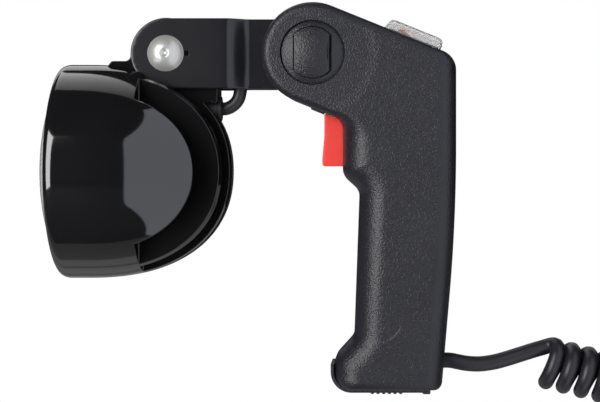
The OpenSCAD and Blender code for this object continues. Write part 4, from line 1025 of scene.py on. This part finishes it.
# %% Boot over the rocker switch
BOOT_START, BOOT_LEN, BOOT_W, BOOT_H, BOOT_WALL = 25.4, 28.0, 19.0, 5.4, 1.2
BOOT_LEAN, BOOT_ROUND, BOOT_CORNER, BOOT_STEPS, BOOT_LIFT = 1.2, 2.6, 3.2, 8, 0.02


def boot_layer(inset, height):
    """One level of the boot: a rounded rectangle that leans back at its front end."""
    lean = BOOT_LEAN * min(1, height / (BOOT_H - BOOT_ROUND))
    s0, s1 = BOOT_START + inset + lean, BOOT_START + BOOT_LEN - inset
    y = BOOT_W / 2 - inset
    r = max(0.5, BOOT_CORNER - inset)
    ring = rounded_corners([(s0, -y, r), (s1, -y, r), (s1, y, r), (s0, y, r)], 8)
    return np.insert(ring, 2, HUB_R + height, axis=1)


def boot_layers(wall):
    """Levels from the foot to the top, for the outside or for the hollow."""
    top = BOOT_H - wall
    r = BOOT_ROUND - wall * 0.6
    levels = [boot_layer(wall, BOOT_LIFT), boot_layer(wall, (top - r) / 2)]
    return levels + [boot_layer(wall + r * (1 - math.cos(t)), top - r * (1 - math.sin(t)))
                     for t in quarter_turns(BOOT_STEPS)]


layers = boot_layers(BOOT_WALL)[::-1] + boot_layers(0)
count = len(layers[0])
last = (len(layers) - 1) * count
boot_faces = joined_rings(len(layers), count) + [list(range(count)), list(range(last, last + count))]
boot = add_piece("switch_boot_shell", on_slope(np.vstack(layers)), boot_faces)
settle(boot, "handle", "boot_clear", "switch_boot")

# %% Base cover
COVER_T, COVER_HALF, COVER_EDGE = 1.6, 11.0, 0.3
COVER_TOP, COVER_END = 12.0 - DROP, GRIP_BACK - 11.8
RIDGES, RIDGE_START, RIDGE_PITCH, RIDGE_R, TOOTH_LEN = 6, GRIP_FRONT + 7, 2.6, 0.9, 3.2
RIDGE_HALF = COVER_HALF - 2
foot, _ = handle_ring(0, 0)
under_foot = [p for p in np.roll(foot, len(foot) // 3, 0) if p[1] < COVER_TOP and p[0] < COVER_END]
under_foot = np.array(under_foot + [(COVER_END, -DROP)])
ahead = np.gradient(under_foot, axis=0)
ahead /= np.linalg.norm(ahead, axis=1, keepdims=True)
outside = under_foot + COVER_T * np.stack([ahead[:, 1], -ahead[:, 0]], 1)
cover = plate("cover", np.vstack([outside, under_foot[::-1]]), -COVER_HALF, COVER_HALF, COVER_EDGE)
low = -DROP - COVER_T
ridge_rings = [circle((RIDGE_START + k * RIDGE_PITCH, low), RIDGE_R, 32) for k in range(RIDGES)]
ridges = [plate("ridge", ring, -RIDGE_HALF, RIDGE_HALF, COVER_EDGE) for ring in ridge_rings]
tooth_ring = rounded_corners([
    (COVER_END - TOOTH_LEN, low - RIDGE_R, 0.5), (COVER_END, low - RIDGE_R, 0.6), (COVER_END, low + 0.1, 0),
    (COVER_END - TOOTH_LEN - 1, low + 0.1, 0),
])
tooth = plate("tooth", tooth_ring, -RIDGE_HALF, RIDGE_HALF, 0.2)
base_cover = merged("base_cover_strip", [cover, *ridges, tooth])
settle(base_cover, "handle", "handle_plastic", "base_cover")

# %% [markdown]
# ## Springs
# Two compression springs work out of sight, one behind the trigger and one behind the tip of the plug. Each
# is a helix whose end turns lie closed, drawn as a round curve and then made into a mesh.

# %% Trigger spring and plug spring
WIRE_R, SPRING_TURNS, TURN_STEPS, CLOSED_PITCH = 0.4, 7, 24, 0.85


def coil_spring(name, node, lengthwise):
    """A spring in the box of a node, along X (0) or Z (2)."""
    low, high = (np.array(corner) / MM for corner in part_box(node))
    middle, half = (low + high) / 2, (high - low) / 2 - WIRE_R
    first, second = (k for k in range(3) if k != lengthwise)
    long = 2 * half[lengthwise]
    line = []
    for turns in np.linspace(0, SPRING_TURNS, SPRING_TURNS * TURN_STEPS + 1):
        point = middle.copy()
        point[first] += half[first] * math.cos(2 * math.pi * turns)
        point[second] += half[second] * math.sin(2 * math.pi * turns)
        point[lengthwise] += np.interp(turns, (0, 1, SPRING_TURNS - 1, SPRING_TURNS),
                                       (0, CLOSED_PITCH, long - CLOSED_PITCH, long)) - long / 2
        line.append(point)
    curve = round_curve(name + "_line", line, 2 * WIRE_R, "zinc_steel", sides=2)
    coil = in_scene(name, as_mesh(curve))
    bpy.data.objects.remove(curve)
    settle(coil, "handle", "zinc_steel", node)
    fixed_end = middle.copy()
    fixed_end[lengthwise] = high[lengthwise]
    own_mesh(coil)
    return coil


coil_spring("trigger_spring_coil", "trigger_spring", 0)
plug_coil = coil_spring("plug_spring_coil", "plug_spring", 2)

# %% [markdown]
# ## Curly cord
# The cord leaves the foot of the grip, runs out level and winds into curls that hang down to a plug. The
# middle line of the curls goes level, bends and falls, and a helix runs round it. The route is the same as
# that of the solid cord, with many more points to each curl, and a round bevel gives it its thickness.

# %% Route of the cord
CORD_D = 7.2
CURL_D = 17.8
CURL_PITCH = 8.3
BEND_PITCH = 10.0
LEVEL_CURLS, HANGING_CURLS = 5, 7
LEVEL_FALL = math.radians(14)
BEND_R = 95.0
COIL_SKEW, SKEW_FROM, SKEW_TO = math.radians(14), 1, 9
BLEND_IN, BLEND_OUT = 0.75, 0.9
LEAD_IN_SPEED, LEAD_OUT_SPEED = 32.0, 19.0
CURL_FOOT = 10.0
STEPS_PER_CURL = 24
TAIL_ROUTE = [
    (7.824, CORD_Z), (14, CORD_Z), (20.5, CORD_Z), (24.5, -51.7), (29, -52.5), (35, -52.7),
    (41.5, -51.8), (47.5, -50.2), (53.2, -48.4),
]
TAIL_TO_COIL = np.array([10.4, -3.2])
tail_end = np.array(TAIL_ROUTE[-1])
tail_dir = tail_end - np.array(TAIL_ROUTE[-2])
tail_dir = tail_dir / np.linalg.norm(tail_dir)
coil_start = tail_end + TAIL_TO_COIL
bend_curls = BEND_R * (QUARTER - LEVEL_FALL) / BEND_PITCH
all_curls = LEVEL_CURLS + bend_curls + HANGING_CURLS
level_dir = np.array([math.cos(LEVEL_FALL), -math.sin(LEVEL_FALL)])
bend_start = coil_start + LEVEL_CURLS * CURL_PITCH * level_dir
bend_centre = bend_start - BEND_R * np.array([math.sin(LEVEL_FALL), math.cos(LEVEL_FALL)])
hang_start = bend_centre + np.array([BEND_R, 0.0])


def fall_at(u):
    """Fall of the coil's middle line at a curl, as an angle below level."""
    return min(QUARTER, LEVEL_FALL + max(0.0, u - LEVEL_CURLS) * BEND_PITCH / BEND_R)


def coil_middle(u):
    if u < LEVEL_CURLS:
        return coil_start + u * CURL_PITCH * level_dir
    if u < LEVEL_CURLS + bend_curls:
        return bend_centre + BEND_R * np.array([math.sin(fall_at(u)), math.cos(fall_at(u))])
    return hang_start - np.array([0.0, (u - LEVEL_CURLS - bend_curls) * CURL_PITCH])


def coil_point(u):
    turn = 2 * math.pi * (u - 0.25)
    lean = fall_at(u) + COIL_SKEW * (1 - smooth_ramp(u, SKEW_FROM, SKEW_TO))
    out = np.array([math.sin(lean), math.cos(lean)])
    middle = coil_middle(u) + CURL_D / 2 * math.cos(turn) * out
    return np.array([middle[0], -CURL_D / 2 * math.sin(turn), middle[1]])


def curl_point(u):
    """A point of the curls, led in from the tail at the start and out to the plug at the end."""
    lead_in = side_point(tail_end + tail_dir * (CORD_D + LEAD_IN_SPEED * u))
    into_coil = smooth_ramp(u, 0, BLEND_IN)
    lead_out = side_point(plug_top + np.array([0.0, LEAD_OUT_SPEED * (all_curls - u)]))
    out_of_coil = smooth_ramp(u, all_curls - BLEND_OUT, all_curls)
    point = lead_in * (1 - into_coil) + coil_point(u) * into_coil
    return point * (1 - out_of_coil) + lead_out * out_of_coil


curl_count = math.ceil(all_curls * STEPS_PER_CURL)
plug_top = coil_middle(all_curls) - np.array([0.0, CURL_FOOT])
tail_line = rounded_route([side_point(p) for p in TAIL_ROUTE])
curl_line = [curl_point(all_curls * i / curl_count) for i in range(curl_count + 1)]
cord_line = tail_line + curl_line

# %% The cord as one round curve
curly_cord = round_curve("curly_cord", cord_line, CORD_D, "cord_rubber")
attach(curly_cord, "handle")
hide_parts("cord_tail", "cord_curl")

# %% [markdown]
# ## Studio
# A pale floor far below, a white surround and one broad soft lamp on the left, which draws the bright line
# down the front of the grip. Dark cards keep the gloss paint black. In front of them stand three glowing
# shapes: a wall to the right of the camera, which the paint shows as a grey shape, a panel overhead, and
# bands on the floor that show in the underside of the head. Only reflections see the cards and the shapes.

# %% Floor, surround, lamp and cards
FLOOR_GAP, FLOOR_SIZE = 0.02, (3.6, 3.6)
STUDIO_WHITE = 0.93
WHITE_LIGHT = (1, 1, 1, 1)
# strength as a light, and in sight
FLOOR_LIGHT, SKY_LIGHT = (0.12, 0.5), (0.22, 1.0)
LEVEL, UPRIGHT, ENDWISE = (0, 0, 0), (QUARTER, 0, 0), (0, QUARTER, 0)
LAMP_AT, LAMP_AIM, LAMP_SIZE, LAMP_POWER = (-0.815, -1.024, 0.25), (-0.05, 0, 0.03), (0.7, 1.3), 18
LOW = cad_box[0][2] - FLOOR_GAP / 2


def stage_mesh(name, points, faces, material):
    """A mesh of the stage, which is no part of the lamp."""
    mesh = bpy.data.meshes.new(name)
    mesh.from_pydata([tuple(p) for p in points], [], faces)
    panel = in_scene(name, mesh)
    give_finish(panel, material)
    return panel


def flat_panel(name, size, place, turn, material):
    """A flat rectangle of the stage."""
    w, h = size[0] / 2, size[1] / 2
    panel = stage_mesh(name, [(-w, -h, 0), (w, -h, 0), (w, h, 0), (-w, h, 0)], [(0, 1, 2, 3)], material)
    panel.location = place
    panel.rotation_euler = turn
    return panel


def only_reflected(panel):
    """Keep a panel of the stage out of every view but that of reflections."""
    for ray in ("camera", "diffuse", "shadow", "transmission"):
        setattr(panel, "visible_" + ray, False)


def by_sight(tree, elsewhere, in_sight):
    """A strength: in_sight where the camera looks, straight or by mirror or glass, or else elsewhere."""
    rays = add_node(tree, "ShaderNodeLightPath").outputs
    looks = rays["Is Camera Ray"]
    for ray in ("Is Glossy Ray", "Is Transmission Ray"):
        looks = combine(tree, "MAXIMUM", looks, rays[ray])
    return remap(tree, looks, 0, 1, elsewhere, in_sight)


floor_white, floor_tree, floor_shader = new_finish("floor_white", (STUDIO_WHITE,) * 3, 0.8)
feed(floor_tree, floor_shader, {"Emission Color": WHITE_LIGHT,
                                "Emission Strength": by_sight(floor_tree, *FLOOR_LIGHT)})
floor = flat_panel("floor", FLOOR_SIZE, (0, 0, cad_box[0][2] - FLOOR_GAP), LEVEL, floor_white)

world = bpy.data.worlds.new("surround")
bpy.context.scene.world = world
world.use_nodes = True
sky = world.node_tree
feed(sky, sky.nodes["Background"], {"Color": WHITE_LIGHT, "Strength": by_sight(sky, *SKY_LIGHT)})

lamp_data = bpy.data.lights.new("left_lamp", "AREA")
lamp_data.shape = "RECTANGLE"
lamp_data.size, lamp_data.size_y = LAMP_SIZE
lamp_data.energy = LAMP_POWER
lamp = in_scene("left_lamp", lamp_data)
lamp.location = LAMP_AT
lamp.rotation_euler = (Vector(LAMP_AIM) - Vector(LAMP_AT)).to_track_quat("-Z", "Y").to_euler()

ROOM_X, ROOM_Y, ROOM_Z, CARD = 2.4, 2.0, 2.2, (5, 5)
card_black, _, _ = new_finish("card_black", (0.01, 0.01, 0.01), 0.9)
CARDS = [
    ("front_card", CARD, (0, -ROOM_Y, 0), UPRIGHT), ("upper_card", CARD, (0, 0, ROOM_Z), LEVEL),
    ("left_card", CARD, (-ROOM_X, 0, 0), ENDWISE), ("right_card", CARD, (ROOM_X, 0, 0), ENDWISE),
    ("lower_card", (5, 2.42), (0, -1.29, LOW), LEVEL), ("rear_card", (5, 1.3), (0, ROOM_Y, 0.13), UPRIGHT),
]
for name, size, place, turn in CARDS:
    only_reflected(flat_panel(name, size, place, turn, card_black))
print("floor at", round(floor.location.z, 3), "m, cards:", len(CARDS))

# %% Bright shapes that the gloss paint reflects
HEAD_AT = np.array([-0.12, 0.0, 0.037])
WALL_AWAY, WALL_OUT, WALL_RISE, OVER_FLOOR = 1.2, 78, 68, 0.003
WALL_EDGE = [(0, 34, 68), (13, 13, 50)]
COLUMNS, ROWS = 14, 30
LAMP_OVER = 1.25
OVERHEAD = [(-0.8, 0.27), (-0.8, 1.45), (0.2, 0.1), (0.2, -0.12)]
FLOOR_BANDS = [(-2, -0.08), (2, -0.08), (2, 1.8), (-2, 1.8)]
COOL = np.array([0.93, 0.95, 1.06])
WALL_GLOW = [(0, 1.0)]
OVERHEAD_GLOW = [(0, 0.4), (0.9, 1.8)]
FLOOR_GLOW = [(-0.08, 0.16), (0.08, 0.2), (0.1, 0.45), (0.18, 0.4), (0.2, 0.16), (0.24, 0.38), (0.4, 0.32),
              (0.5, 0.16), (0.8, 0.3)]
GLOW_FROM, GLOW_TO = -0.2, 1.2


def glowing(name, stops, tint=1.0):
    """A finish that only glows, by (y, strength) stops along Y."""
    material, tree, shader = new_finish(name, (0, 0, 0), 1.0)
    most = max(strength for _, strength in stops)
    where = add_node(tree, "ShaderNodeNewGeometry").outputs["Position"]
    along = add_node(tree, "ShaderNodeSeparateXYZ", {0: where}).outputs["Y"]
    bands = add_node(tree, "ShaderNodeValToRGB", {"Fac": remap(tree, along, GLOW_FROM, GLOW_TO)})
    elements = bands.color_ramp.elements
    for k, (y, strength) in enumerate(stops):
        at = (y - GLOW_FROM) / (GLOW_TO - GLOW_FROM)
        colour = (*(strength / most * tint * np.ones(3)), 1)
        stop = elements[0] if k == 0 else elements.new(at)
        stop.position = at
        stop.color = colour
    elements[-1].color = colour
    feed(tree, shader, {"Emission Color": bands.outputs["Color"], "Emission Strength": most})
    return material


def wall_place(turn, rise):
    """Place on the wall at a turn to the right and a rise, seen from the head; low rows lie on the floor."""
    turn, rise = math.radians(turn), math.radians(rise)
    way = np.array([math.sin(turn) * math.cos(rise), -math.cos(turn) * math.cos(rise), math.sin(rise)])
    drop_to_floor = HEAD_AT[2] - LOW - OVER_FLOOR
    return HEAD_AT + way * (WALL_AWAY if way[2] > -drop_to_floor / WALL_AWAY else -drop_to_floor / way[2])


wall = [wall_place(turn, rise) for rise in np.linspace(-WALL_RISE, WALL_RISE, ROWS)
        for turn in np.linspace(np.interp(abs(rise), *WALL_EDGE), WALL_OUT, COLUMNS)]
wall_faces = [(i, i + 1, i + COLUMNS + 1, i + COLUMNS) for i in range((ROWS - 1) * COLUMNS)
              if (i + 1) % COLUMNS]
SHAPES = [
    ("right_wall", wall, wall_faces, glowing("wall_glow", WALL_GLOW, COOL)),
    ("overhead", [(x, y, LAMP_OVER) for x, y in OVERHEAD], [(0, 1, 2, 3)],
     glowing("overhead_glow", OVERHEAD_GLOW)),
    ("floor_bands", [(x, y, LOW) for x, y in FLOOR_BANDS], [(0, 1, 2, 3)],
     glowing("floor_glow", FLOOR_GLOW)),
]
for shape in SHAPES:
    only_reflected(stage_mesh(*shape))
bpy.context.scene.view_settings.view_transform = "Standard"
print("reflected shapes:", [shape[0] for shape in SHAPES])
